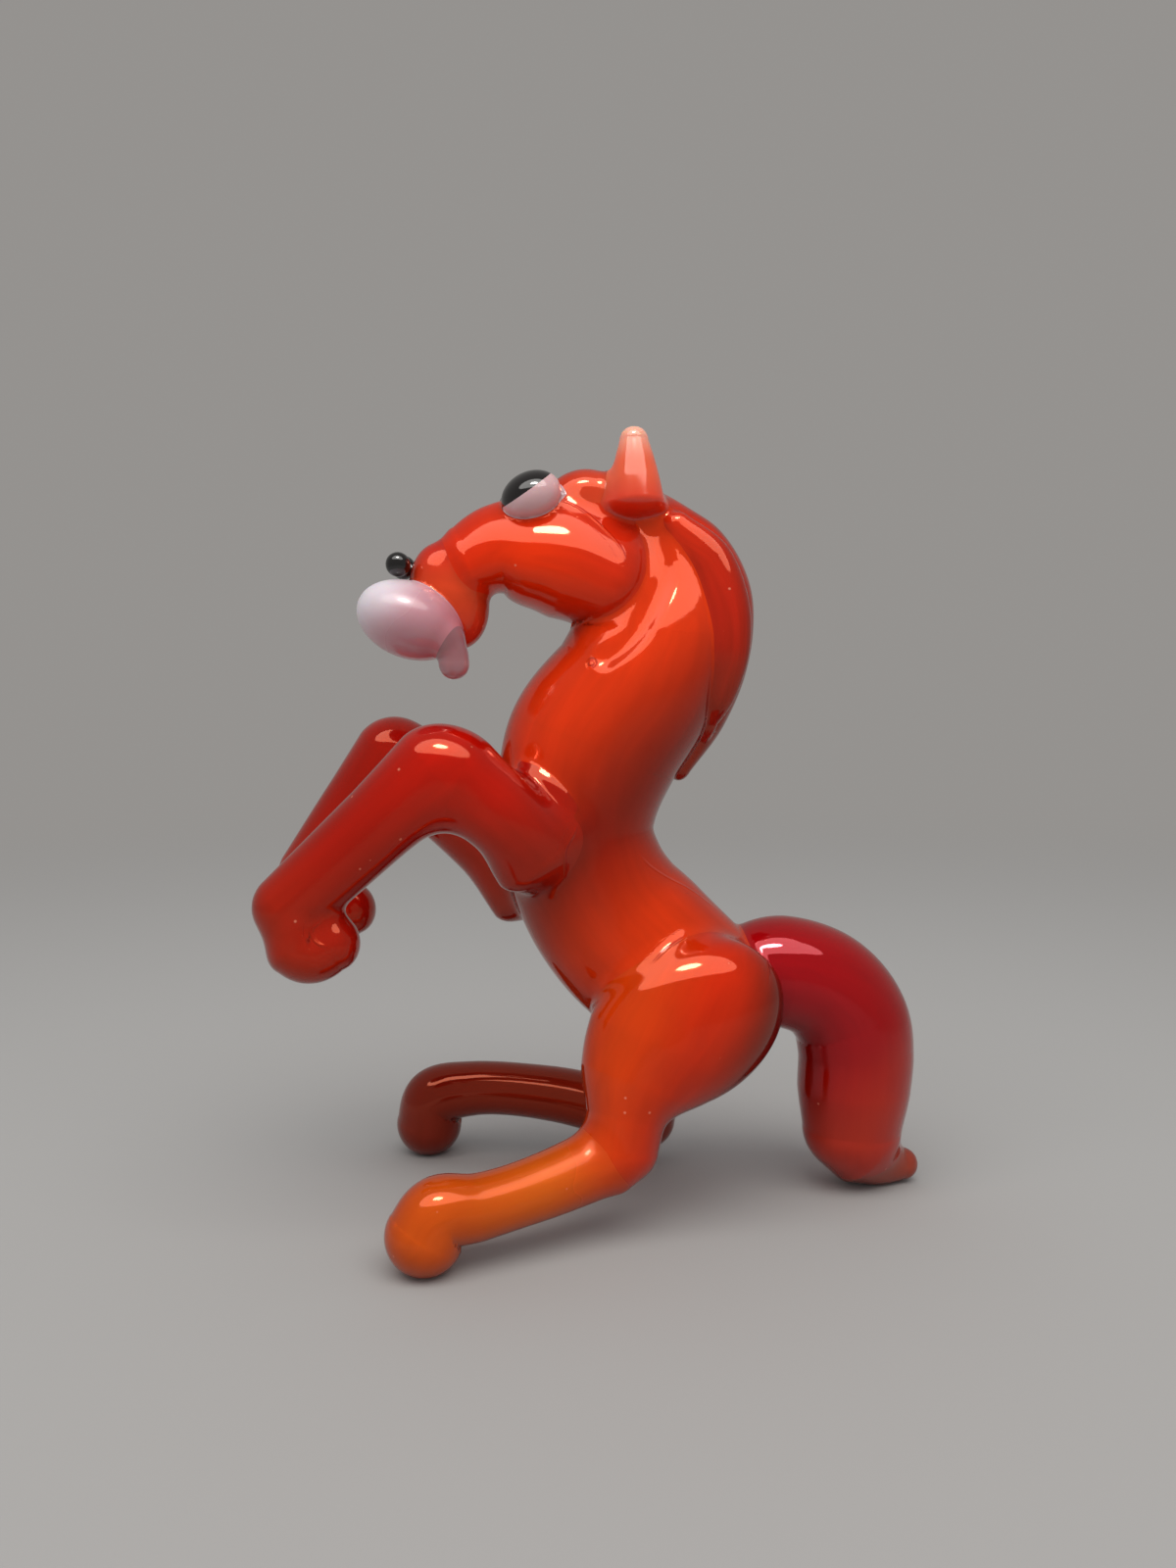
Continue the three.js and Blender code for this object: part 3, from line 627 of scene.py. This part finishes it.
bubble = {"at": (-0.05, -4.24, 38.86), "radius": 0.3, "reach": 0.5, "strength": -1.4}
bubbleAt = settle(np.array([bubble["at"]]), surface["longSettle"])[0]
creaseLines = []
for knots, force in creases.values():
    at = np.linspace(0, len(knots) - 1, creaseForm["points"])
    for side in (1, -1):
        line = lineThrough(np.array(knots) * (1, side, 1), at)
        creaseLines.append((settle(line, creaseForm["settleTurns"]), force))


def creaseAt(where, normal):
    # signed distance to the nearest crease, and how strong it is there
    reach = creaseForm["reach"]
    distance = np.full(len(where), reach)
    strength = np.zeros(len(where))
    for line, force in creaseLines:
        along = unit(np.gradient(line, axis=0))
        near = insideBox({"low": line.min(0) - reach, "high": line.max(0) + reach}, where)
        if not len(near):
            continue
        away = where[near][:, None] - line
        nearest = (away**2).sum(2).argmin(1)
        away = away[np.arange(len(near)), nearest]
        acrossLine = unit(np.cross(normal[near], along[nearest]))
        signed = (away * acrossLine).sum(1)
        past = np.abs((away * along[nearest]).sum(1))
        deep = np.abs((away * normal[near]).sum(1))
        ends = np.minimum(nearest, len(line) - 1 - nearest) / creaseForm["fadePoints"]
        fade = np.clip(ends, 0, 1) * (past < creaseForm["pastEnd"])
        fade *= np.clip(2 - deep / creaseForm["deep"], 0, 1)
        fade *= force * np.clip(2 - 2 * np.abs(signed) / reach, 0, 1)
        better = fade > strength[near]
        distance[near[better]] = signed[better]
        strength[near[better]] = fade[better]
    toBubble = np.linalg.norm(where - bubbleAt, axis=1) - bubble["radius"]
    inBubble = toBubble < bubble["reach"]
    distance[inBubble] = toBubble[inBubble]
    strength[inBubble] = bubble["strength"]
    return np.stack([distance, strength, np.zeros(len(where))], 1)


# Pieces of the figure


def openEdges(faces):
    # edges of these faces that only one of them has, in the direction of that face
    edges = np.concatenate([np.stack([faces[:, k], faces[:, (k + 1) % 4]], 1) for k in range(4)])
    key = np.sort(edges, axis=1)
    code = key[:, 0].astype(np.int64) * len(points) + key[:, 1]
    _, first, count = np.unique(code, return_index=True, return_counts=True)
    return edges[first[count == 1]]


def chainsOf(edges):
    follow = {}
    for a, b in edges.tolist():
        follow.setdefault(a, []).append(b)
    chains = []

    def ahead(here):
        there = follow[here].pop()
        if not follow[here]:
            del follow[here]
        return there

    while follow:
        start = next(iter(follow))
        chain, here = [start], ahead(start)
        while here != start and here in follow:
            chain.append(here)
            here = ahead(here)
        chains.append(chain)
    return chains


def flowOf(made, where):
    # mm along the rod, and mm round it as two numbers, for streaks that follow the glass
    if made["kind"] == "egg":
        return where - made["centre"]
    nearest = nearestOn(made, where)
    away = where - made["centre"][nearest]
    along = made["travel"][nearest] + (away * made["along"][nearest]).sum(1)
    return np.stack([along, (away * made["outward"][nearest]).sum(1), (away * made["side"][nearest]).sum(1)], 1)


def makePiece(pieceName):
    index = pieceNames.index(pieceName)
    mine = quads[facePiece == index]
    kept, inverse = np.unique(mine, return_inverse=True)
    faces = inverse.reshape(-1, 4)
    renumber = {old: new for new, old in enumerate(kept.tolist())}
    corners = points[kept]
    skins = [tuple(f) for f in faces.tolist()]
    walls = []
    extra = []
    for chain in chainsOf(openEdges(mine)):
        ring = [renumber[v] for v in chain]
        middle = corners[ring].mean(0)
        extra.append(middle)
        centre = len(corners) + len(extra) - 1
        walls += [(ring[(k + 1) % len(ring)], ring[k], centre) for k in range(len(ring))]
    allCorners = np.vstack([corners, *extra])
    mesh = bpy.data.meshes.new(pieceName + "Glass")
    placed = np.clip((allCorners + frameShift) * millimetre, cadBounds[0], cadBounds[1])
    mesh.from_pydata(placed.tolist(), [], skins + walls)
    mesh.polygons.foreach_set("use_smooth", [True] * len(skins) + [False] * len(walls))
    madeBy = [m for m in gathers if m["name"] == pieceName or any(c[2] == pieceName for c in m["cuts"])]
    madeBy = next((m for m in madeBy if m["kind"] == "rod"), madeBy[0])
    flow = mesh.attributes.new("glassFlow", "FLOAT_VECTOR", "POINT")
    flow.data.foreach_set("vector", flowOf(madeBy, allCorners).astype(np.float32).ravel())
    marks = np.zeros((len(allCorners), 3), np.float32)
    marks[:len(kept)] = creaseAt(corners, normals[kept])
    crease = mesh.attributes.new("glassCrease", "FLOAT_VECTOR", "POINT")
    crease.data.foreach_set("vector", marks.ravel())
    cornerNormals = np.zeros((len(mesh.loops), 3))
    cornerNormals[:len(skins) * 4] = normals[kept][faces.ravel()]
    for k, wall in enumerate(walls):
        a, b, c = (allCorners[v] for v in wall)
        cornerNormals[len(skins) * 4 + 3 * k:len(skins) * 4 + 3 * k + 3] = unit(np.cross(b - a, c - a))
    mesh.normals_split_custom_set(cornerNormals.tolist())
    piece = newObject(pieceName + "Glass", mesh)
    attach(piece, "root")
    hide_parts(pieceName)
    return piece


pieces = {pieceName: makePiece(pieceName) for pieceName in pieceNames}
print("pieces:", len(pieces))


# Shader helpers, and the node group that every glass uses


def newGroup(name, inputs, outputs):
    group = bpy.data.node_groups.new(name, "ShaderNodeTree")
    for label, kind, value in inputs:
        socket = group.interface.new_socket(name=label, in_out="INPUT", socket_type=kind)
        socket.default_value = value
    for label, kind in outputs:
        group.interface.new_socket(name=label, in_out="OUTPUT", socket_type=kind)
    return group, addNode(group, "NodeGroupInput"), addNode(group, "NodeGroupOutput")


def feed(tree, node, feeds):
    # what each input gets: another node's output or a plain value
    for label, value in feeds.items():
        if isinstance(value, bpy.types.NodeSocket):
            tree.links.new(value, node.inputs[label])
        else:
            node.inputs[label].default_value = value


def addNode(tree, kind, feeds=(), **settings):
    node = tree.nodes.new(kind)
    for key, value in settings.items():
        setattr(node, key, value)
    feed(tree, node, dict(feeds))
    return node


def mathNode(tree, operation, a, b, clamp=False):
    return addNode(tree, "ShaderNodeMath", {0: a, 1: b}, operation=operation, use_clamp=clamp).outputs[0]


def mixColours(tree, factor, a, b):
    return addNode(tree, "ShaderNodeMix", {0: factor, 6: a, 7: b}, data_type="RGBA").outputs[2]


def smoothStep(tree, value, start, end):
    # 0 at the start and 1 at the end, with a soft rise between them
    feeds = {"Value": value, "From Min": start, "From Max": end}
    return addNode(tree, "ShaderNodeMapRange", feeds, interpolation_type="SMOOTHSTEP").outputs[0]


skin = {  # scales are in waves per metre, those of the streaks in waves per mm, along the rod and round it
    "clouds": 160, "streaks": (0.09, 0.75, 0.75), "streakStrength": 4,
    "seeds": 800, "seedShare": 0.27, "seedEdge": (0.1, 0.04), "seedColour": (0.95, 0.32, 0.2, 1),
    "waves": 220, "waveHeight": 0.12, "seedHeight": 0.1,
    "creaseHalfWidth": 0.17, "creaseHeight": 0.7,  # mm; a share of the bump's distance
    "smudges": 90, "smudgeRange": (0.35, 0.75), "roughness": (0.04, 0.14),
}


def buildDriftGroup():
    # three colours that drift into each other from one place to another, with drawn-out streaks
    group, given, result = newGroup("glassDrift", [
        *((f"{which} Color", "NodeSocketColor", (0.8, 0.1, 0.02, 1)) for which in ("First", "Second", "Third")),
        ("From", "NodeSocketVector", (0, 0, 0)),
        ("To", "NodeSocketVector", (0, 0, 0.05)),
        ("Wander", "NodeSocketFloat", 0.15),
        ("Streaks", "NodeSocketFloat", 0.12),
        ("Specks", "NodeSocketFloat", 0.5),
        ("Matte", "NodeSocketFloat", 0.0),
    ], [("Color", "NodeSocketColor"), ("Roughness", "NodeSocketFloat"), ("Height", "NodeSocketFloat")])
    given = given.outputs
    place = addNode(group, "ShaderNodeTexCoord").outputs["Object"]

    def attribute(name):
        return addNode(group, "ShaderNodeAttribute", attribute_name=name).outputs["Vector"]

    def vectorNode(operation, a, b):
        return addNode(group, "ShaderNodeVectorMath", {0: a, 1: b}, operation=operation).outputs

    def noise(where, scale, detail, distortion=0.0):
        feeds = {"Vector": where, "Scale": scale, "Detail": detail, "Distortion": distortion}
        return addNode(group, "ShaderNodeTexNoise", feeds).outputs["Fac"]

    def times(a, b):
        return mathNode(group, "MULTIPLY", a, b)

    def plus(a, b):
        return mathNode(group, "ADD", a, b)

    def fromMiddle(value):
        return mathNode(group, "SUBTRACT", value, 0.5)

    way = vectorNode("SUBTRACT", given["To"], given["From"])[0]
    gone = vectorNode("SUBTRACT", place, given["From"])[0]
    share = mathNode(group, "DIVIDE", vectorNode("DOT_PRODUCT", gone, way)["Value"],
                     vectorNode("DOT_PRODUCT", way, way)["Value"])
    share = plus(share, times(fromMiddle(noise(place, skin["clouds"], 2)), given["Wander"]))
    colour = mixColours(group, smoothStep(group, share, 0, 0.5), given["First Color"], given["Second Color"])
    colour = mixColours(group, smoothStep(group, share, 0.5, 1), colour, given["Third Color"])

    # streaks drawn out along the rod
    drawn = addNode(group, "ShaderNodeMapping", {"Vector": attribute("glassFlow"), "Scale": skin["streaks"]})
    streak = times(fromMiddle(noise(drawn.outputs[0], 1.0, 4, 0.6)), given["Streaks"])
    value = plus(times(streak, skin["streakStrength"]), 1)
    colour = addNode(group, "ShaderNodeHueSaturation", {"Value": value, "Color": colour}).outputs[0]

    # seeds: tiny bubbles under the skin
    seeds = addNode(group, "ShaderNodeTexVoronoi", {"Vector": place, "Scale": skin["seeds"]}, feature="F1").outputs
    chosen = mathNode(group, "LESS_THAN", seeds["Color"], skin["seedShare"])
    speck = times(times(smoothStep(group, seeds["Distance"], *skin["seedEdge"]), chosen), given["Specks"])
    colour = mixColours(group, speck, colour, skin["seedColour"])

    # the fire-polished skin is a little uneven
    waves = times(noise(place, skin["waves"], 1.5), skin["waveHeight"])
    height = plus(waves, times(speck, skin["seedHeight"]))
    # creases: the attribute holds the distance to one in mm, and its strength
    crease = addNode(group, "ShaderNodeSeparateXYZ", {0: attribute("glassCrease")}).outputs
    offCrease = mathNode(group, "ABSOLUTE", crease["X"], 0)
    raised = times(smoothStep(group, offCrease, skin["creaseHalfWidth"], 0), crease["Y"])
    height = plus(height, times(raised, skin["creaseHeight"]))
    rough = addNode(group, "ShaderNodeMapRange", {
        "Value": noise(place, skin["smudges"], 3), "From Min": skin["smudgeRange"][0],
        "From Max": skin["smudgeRange"][1], "To Min": skin["roughness"][0], "To Max": skin["roughness"][1],
    }).outputs[0]
    # matte near the first colour, glossy at the third
    dull = times(mathNode(group, "SUBTRACT", 1, share, clamp=True), given["Matte"])
    feed(group, result, {"Color": colour, "Height": height, "Roughness": plus(rough, dull)})
    return group


driftGroup = buildDriftGroup()


def linear(colour):
    # 0 to 255 as on the screen, to the shader's own scale
    share = [c / 255 for c in colour]
    return (*[c / 12.92 if c <= 0.04045 else ((c + 0.055) / 1.055) ** 2.4 for c in share], 1.0)


paintedEdgeShade = ((0.09, 0.004, 0.002, 1), 0.7)  # painted edge shade: the dark red that the outline is mixed into where the surface turns from the camera, and how far


def casedGlass(name, first, second, third, start, end, warmth=1.0, clear=0.0, glow=0.12, wander=0.2, streaks=0.1,
               specks=0.6, matte=0.0, paintedRim=paintedEdgeShade, tint=(1.0, 0.22, 0.09)):
    # coloured glass under a clear, fire-polished skin; start and end are x, y, z in mm
    # warmth 1: the glass tints what it mirrors, as deep red glass does; clear: share that lets light through
    material = bpy.data.materials.new(name)
    material.use_nodes = True
    tree = material.node_tree
    shader = tree.nodes["Principled BSDF"]
    drift = addNode(tree, "ShaderNodeGroup", {
        "First Color": linear(first), "Second Color": linear(second), "Third Color": linear(third),
        "From": (frameShift + start) * millimetre, "To": (frameShift + end) * millimetre,
        "Wander": wander, "Streaks": streaks, "Specks": specks, "Matte": matte,
    }, node_tree=driftGroup)
    colour = drift.outputs["Color"]
    # painted edge shade: towards the outline, where the surface turns from the camera, the colour is mixed into the
    # rim colour; the red glasses darken there and the tongue goes pale
    if paintedRim:
        facing = addNode(tree, "ShaderNodeLayerWeight")
        edgeShade = mathNode(tree, "MULTIPLY", facing.outputs["Facing"], paintedRim[1])
        colour = mixColours(tree, edgeShade, colour, paintedRim[0])
    bump = addNode(tree, "ShaderNodeBump", {"Strength": 1.0, "Distance": 0.0001, "Height": drift.outputs["Height"]})
    feed(tree, shader, {
        "Base Color": colour, "Roughness": drift.outputs["Roughness"], "Normal": bump.outputs[0],
        "IOR": 1.6, "Specular IOR Level": 0.5 + 0.5 * warmth,
        "Specular Tint": (*[1 - (1 - c) * warmth for c in tint], 1),
        "Coat Weight": 0.18, "Coat Roughness": 0.015, "Coat IOR": 1.55, "Transmission Weight": clear,
        "Subsurface Weight": glow, "Subsurface Radius": (1.0, 0.25, 0.08), "Subsurface Scale": 0.0018,
    })
    return material


glasses = [  # name, three colours from 0 to 255, and where the first one and the third one are, in mm
    # bodyOrange: its dark second colour, across the waist between the rump and the neck, is painted shade of the
    # shaded waist
    casedGlass("bodyOrange", (222, 52, 6), (138, 11, 3), (236, 56, 12), (5, 0, 21.5), (-5, 0, 34), wander=0.1),
    casedGlass("headRed", (222, 42, 12), (244, 50, 4), (232, 42, 8), (2, 0, 47), (-11, 0, 46)),
    casedGlass("forelockOrange", (218, 54, 24), (228, 70, 38), (214, 46, 22), (-2, 0, 51), (3, 0, 51)),
    casedGlass("muzzleOrange", (216, 36, 26), (228, 70, 34), (222, 56, 36), (-11, 0, 48), (-11, 0, 40)),
    casedGlass("maneRed", (220, 44, 14), (188, 30, 14), (136, 34, 24), (2, 0, 50), (10, 0, 33), streaks=0.3),
    casedGlass("forelegRed", (194, 10, 2), (168, 8, 3), (170, 27, 10), (-9, 0, 31), (-22, 0, 21), wander=0.1),
    casedGlass("upperArmRed", (194, 10, 2), (176, 16, 6), (156, 24, 12), (-9, 0, 31), (-2, 0, 25), wander=0.1),
    # thighOrange: the near-black third colour at the thigh's lower rear is partly the dark glass and partly painted
    # shade of its underside
    casedGlass("thighOrange", (216, 62, 9), (212, 38, 4), (60, 6, 5), (0.5, 0, 13), (11.6, 0, 9.3), wander=0.1),
    casedGlass("farThighRed", (214, 48, 7), (176, 36, 10), (138, 34, 15), (8, 0, 16), (5, 0, 4), wander=0.1),
    # shankAmber: the lighter amber of the second and third colours, towards the hoof, is partly the glass's own
    # colour and partly painted glow of floor light through the glass
    casedGlass("shankAmber", (215, 52, 7), (216, 94, 16), (206, 80, 13), (3, 0, 6.5), (-12, 0, 3.5), matte=0.32),
    casedGlass("darkLegRed", (138, 34, 15), (126, 28, 13), (108, 16, 9), (4, 0, 5), (-14, 0, 3)),
    casedGlass("tailCrimson", (166, 0, 8), (156, 2, 3), (186, 48, 20), (12, 0, 18), (20, 0, 4.5),
               tint=(1.0, 0.16, 0.2)),
    casedGlass("tailTipBrown", (186, 62, 34), (170, 62, 42), (156, 64, 50), (18, 0, 3), (23, 0, 2)),
    casedGlass("earOrange", (222, 36, 8), (236, 96, 60), (252, 196, 172), (3, 0, 49), (2.9, 0, 56.5),
               warmth=0.5, glow=0.3, wander=0.05, streaks=0.03, specks=0.0, paintedRim=None),
    casedGlass("opalWhite", (222, 212, 220), (198, 140, 150), (198, 110, 118), (-15.5, 0, 44), (-9.5, 0, 39),
               warmth=0.0, streaks=0.03, specks=0.0, matte=0.3, paintedRim=None),
    casedGlass("eyeWhite", (226, 206, 210), (222, 188, 192), (214, 170, 172), (-9, 0, 52), (-4, 0, 50),
               warmth=0.0, streaks=0.02, specks=0.0, paintedRim=None),
    # the tongue's pale pink rim is painted edge light
    casedGlass("tonguePink", (190, 118, 126), (190, 124, 130), (204, 146, 152), (-9, 0, 42), (-9, 0, 38),
               warmth=0.0, clear=0.5, streaks=0.03, specks=0.0, paintedRim=((0.75, 0.5, 0.55, 1), 0.6)),
    casedGlass("blackGlass", (9, 5, 6), (7, 4, 5), (10, 6, 7), (0, 0, 40), (0, 0, 50), warmth=0.0, glow=0.0,
               specks=0.0, paintedRim=None),
]
materials = {glass.name: glass for glass in glasses}

# Each material: a slot name, and its pieces
finishes = {
    "bodyOrange": ("body_glass", "torso", "neck"),
    "headRed": ("head_glass", "head"),
    "forelockOrange": ("head_glass", "forelock"),
    "muzzleOrange": ("head_glass", "muzzle"),
    "opalWhite": ("opal_glass", "mouth"),
    "tonguePink": ("tongue_glass", "tongue"),
    "blackGlass": ("black_glass", "left_nostril", "right_nostril", "left_pupil", "right_pupil"),
    "eyeWhite": ("opal_glass", "left_eyeball", "right_eyeball"),
    "earOrange": ("ear_glass", "left_ear", "right_ear"),
    "maneRed": ("mane_glass", "mane_crest", "mane_left_strand", "mane_right_strand"),
    "upperArmRed": ("foreleg_glass", "left_upper_foreleg", "right_upper_foreleg"),
    "forelegRed": ("foreleg_glass", "left_forearm", "right_forearm", "left_fore_hoof", "right_fore_hoof"),
    "thighOrange": ("thigh_glass", "left_thigh"),
    "farThighRed": ("thigh_glass", "right_thigh"),
    "shankAmber": ("shank_glass", "left_shank", "left_hind_hoof"),
    "darkLegRed": ("dark_leg_glass", "right_shank", "right_hind_hoof"),
    "tailCrimson": ("tail_glass", "tail"),
    "tailTipBrown": ("tail_tip_glass", "tail_tip"),
}
for materialName, (slotName, *finished) in finishes.items():
    for pieceName in finished:
        pieces[pieceName].data.materials.append(materials[materialName])
print("materials:", len(materials))


# Floor, light and camera
studio = {
    "floorSize": 6.0, "floorDrop": 0.00002, "floor": (0.36, 0.35, 0.34, 1), "floorFade": (0.04, 0.3),
    "backdrop": (0.3, 0.288, 0.276, 1), "ambient": (0.96, 0.98, 1.0, 1), "ambientStrength": 0.66,
    "aim": (0, 0, 0.03), "lightColour": (1.0, 0.98, 0.95),
    "panelSize": (0.5, 0.2), "panelAt": (-0.02, -0.12, 0.29), "panelPower": 0.72,
    "lampSize": (0.1, 0.045), "lampAt": (-0.02, -0.12, 0.289), "lampPower": 0.4,
}
half = studio["floorSize"] / 2
floorMesh = bpy.data.meshes.new("floor")
floorMesh.from_pydata([(-half, -half, 0), (half, -half, 0), (half, half, 0), (-half, half, 0)], [], [(0, 1, 2, 3)])
floor = newObject("floor", floorMesh)
floor.location = (0, 0, -studio["floorDrop"])
floorMaterial = bpy.data.materials.new("paleFloor")
floorMaterial.use_nodes = True
floorTree = floorMaterial.node_tree
floorShader = floorTree.nodes["Principled BSDF"]
feed(floorTree, floorShader, {"Base Color": studio["floor"], "Roughness": 0.9, "Specular IOR Level": 0.1})
# far away the floor takes the colour of the backdrop, so that no line shows between them
floorPlace = addNode(floorTree, "ShaderNodeTexCoord").outputs["Object"]
fromMiddle = addNode(floorTree, "ShaderNodeVectorMath", {0: floorPlace}, operation="LENGTH").outputs["Value"]
fade = smoothStep(floorTree, fromMiddle, *studio["floorFade"])
farFloor = addNode(floorTree, "ShaderNodeEmission", {"Color": studio["backdrop"]}).outputs[0]
mixed = addNode(floorTree, "ShaderNodeMixShader", {0: fade, 1: floorShader.outputs[0], 2: farFloor})
feed(floorTree, floorTree.nodes["Material Output"], {"Surface": mixed.outputs[0]})
floor.data.materials.append(floorMaterial)

world = bpy.data.worlds.new("studioWorld")
scene.world = world
world.use_nodes = True
tree = world.node_tree
tree.nodes.clear()
shine = addNode(tree, "ShaderNodeBackground", {"Color": studio["ambient"], "Strength": studio["ambientStrength"]})
seen = addNode(tree, "ShaderNodeBackground", {"Color": studio["backdrop"]})
path = addNode(tree, "ShaderNodeLightPath")
mirrored = mathNode(tree, "MAXIMUM", path.outputs["Is Glossy Ray"], path.outputs["Is Transmission Ray"])
anySeen = mathNode(tree, "MAXIMUM", path.outputs["Is Camera Ray"], mirrored)
choose = addNode(tree, "ShaderNodeMixShader", {0: anySeen, 1: shine.outputs[0], 2: seen.outputs[0]})
addNode(tree, "ShaderNodeOutputWorld", {"Surface": choose.outputs[0]})


def softLight(name, size, location, power):
    data = bpy.data.lights.new(name, "AREA")
    data.shape = "ELLIPSE"
    data.size, data.size_y = size
    data.energy = power
    data.color = studio["lightColour"]
    lamp = newObject(name, data)
    lamp.location = location
    lamp.rotation_mode = "QUATERNION"
    lamp.rotation_quaternion = (Vector(studio["aim"]) - lamp.location).to_track_quat("-Z", "Y")
    return lamp


softLight("softPanel", studio["panelSize"], studio["panelAt"], studio["panelPower"])
smallLamp = softLight("smallLamp", studio["lampSize"], studio["lampAt"], studio["lampPower"])
smallLamp.visible_diffuse = False  # it only shows as a bright spot in the glass

view = {
    "yaw": 7.0, "pitch": 4.574, "height": 37.6, "distance": 88.0,  # degrees and mm
    "focal": 1250 / 1600,  # as a share of the photograph's height
    "sensor": 36, "clipStart": 0.005,
}
camera = newObject("camera", bpy.data.cameras.new("camera"))
yaw, pitch = math.radians(view["yaw"]), math.radians(view["pitch"])
eyePoint = np.array([-math.sin(yaw) * view["distance"], -math.cos(yaw) * view["distance"], view["height"]])
camera.location = (eyePoint + frameShift) * millimetre
looking = Vector((math.sin(yaw) * math.cos(pitch), math.cos(yaw) * math.cos(pitch), -math.sin(pitch)))
camera.rotation_mode = "QUATERNION"
camera.rotation_quaternion = looking.to_track_quat("-Z", "Y")
camera.data.sensor_width = view["sensor"]
camera.data.lens = view["focal"] * view["sensor"]
camera.data.clip_start = view["clipStart"]
scene.camera = camera
scene.view_settings.view_transform = "Standard"
print("studio: floor, lights and camera")
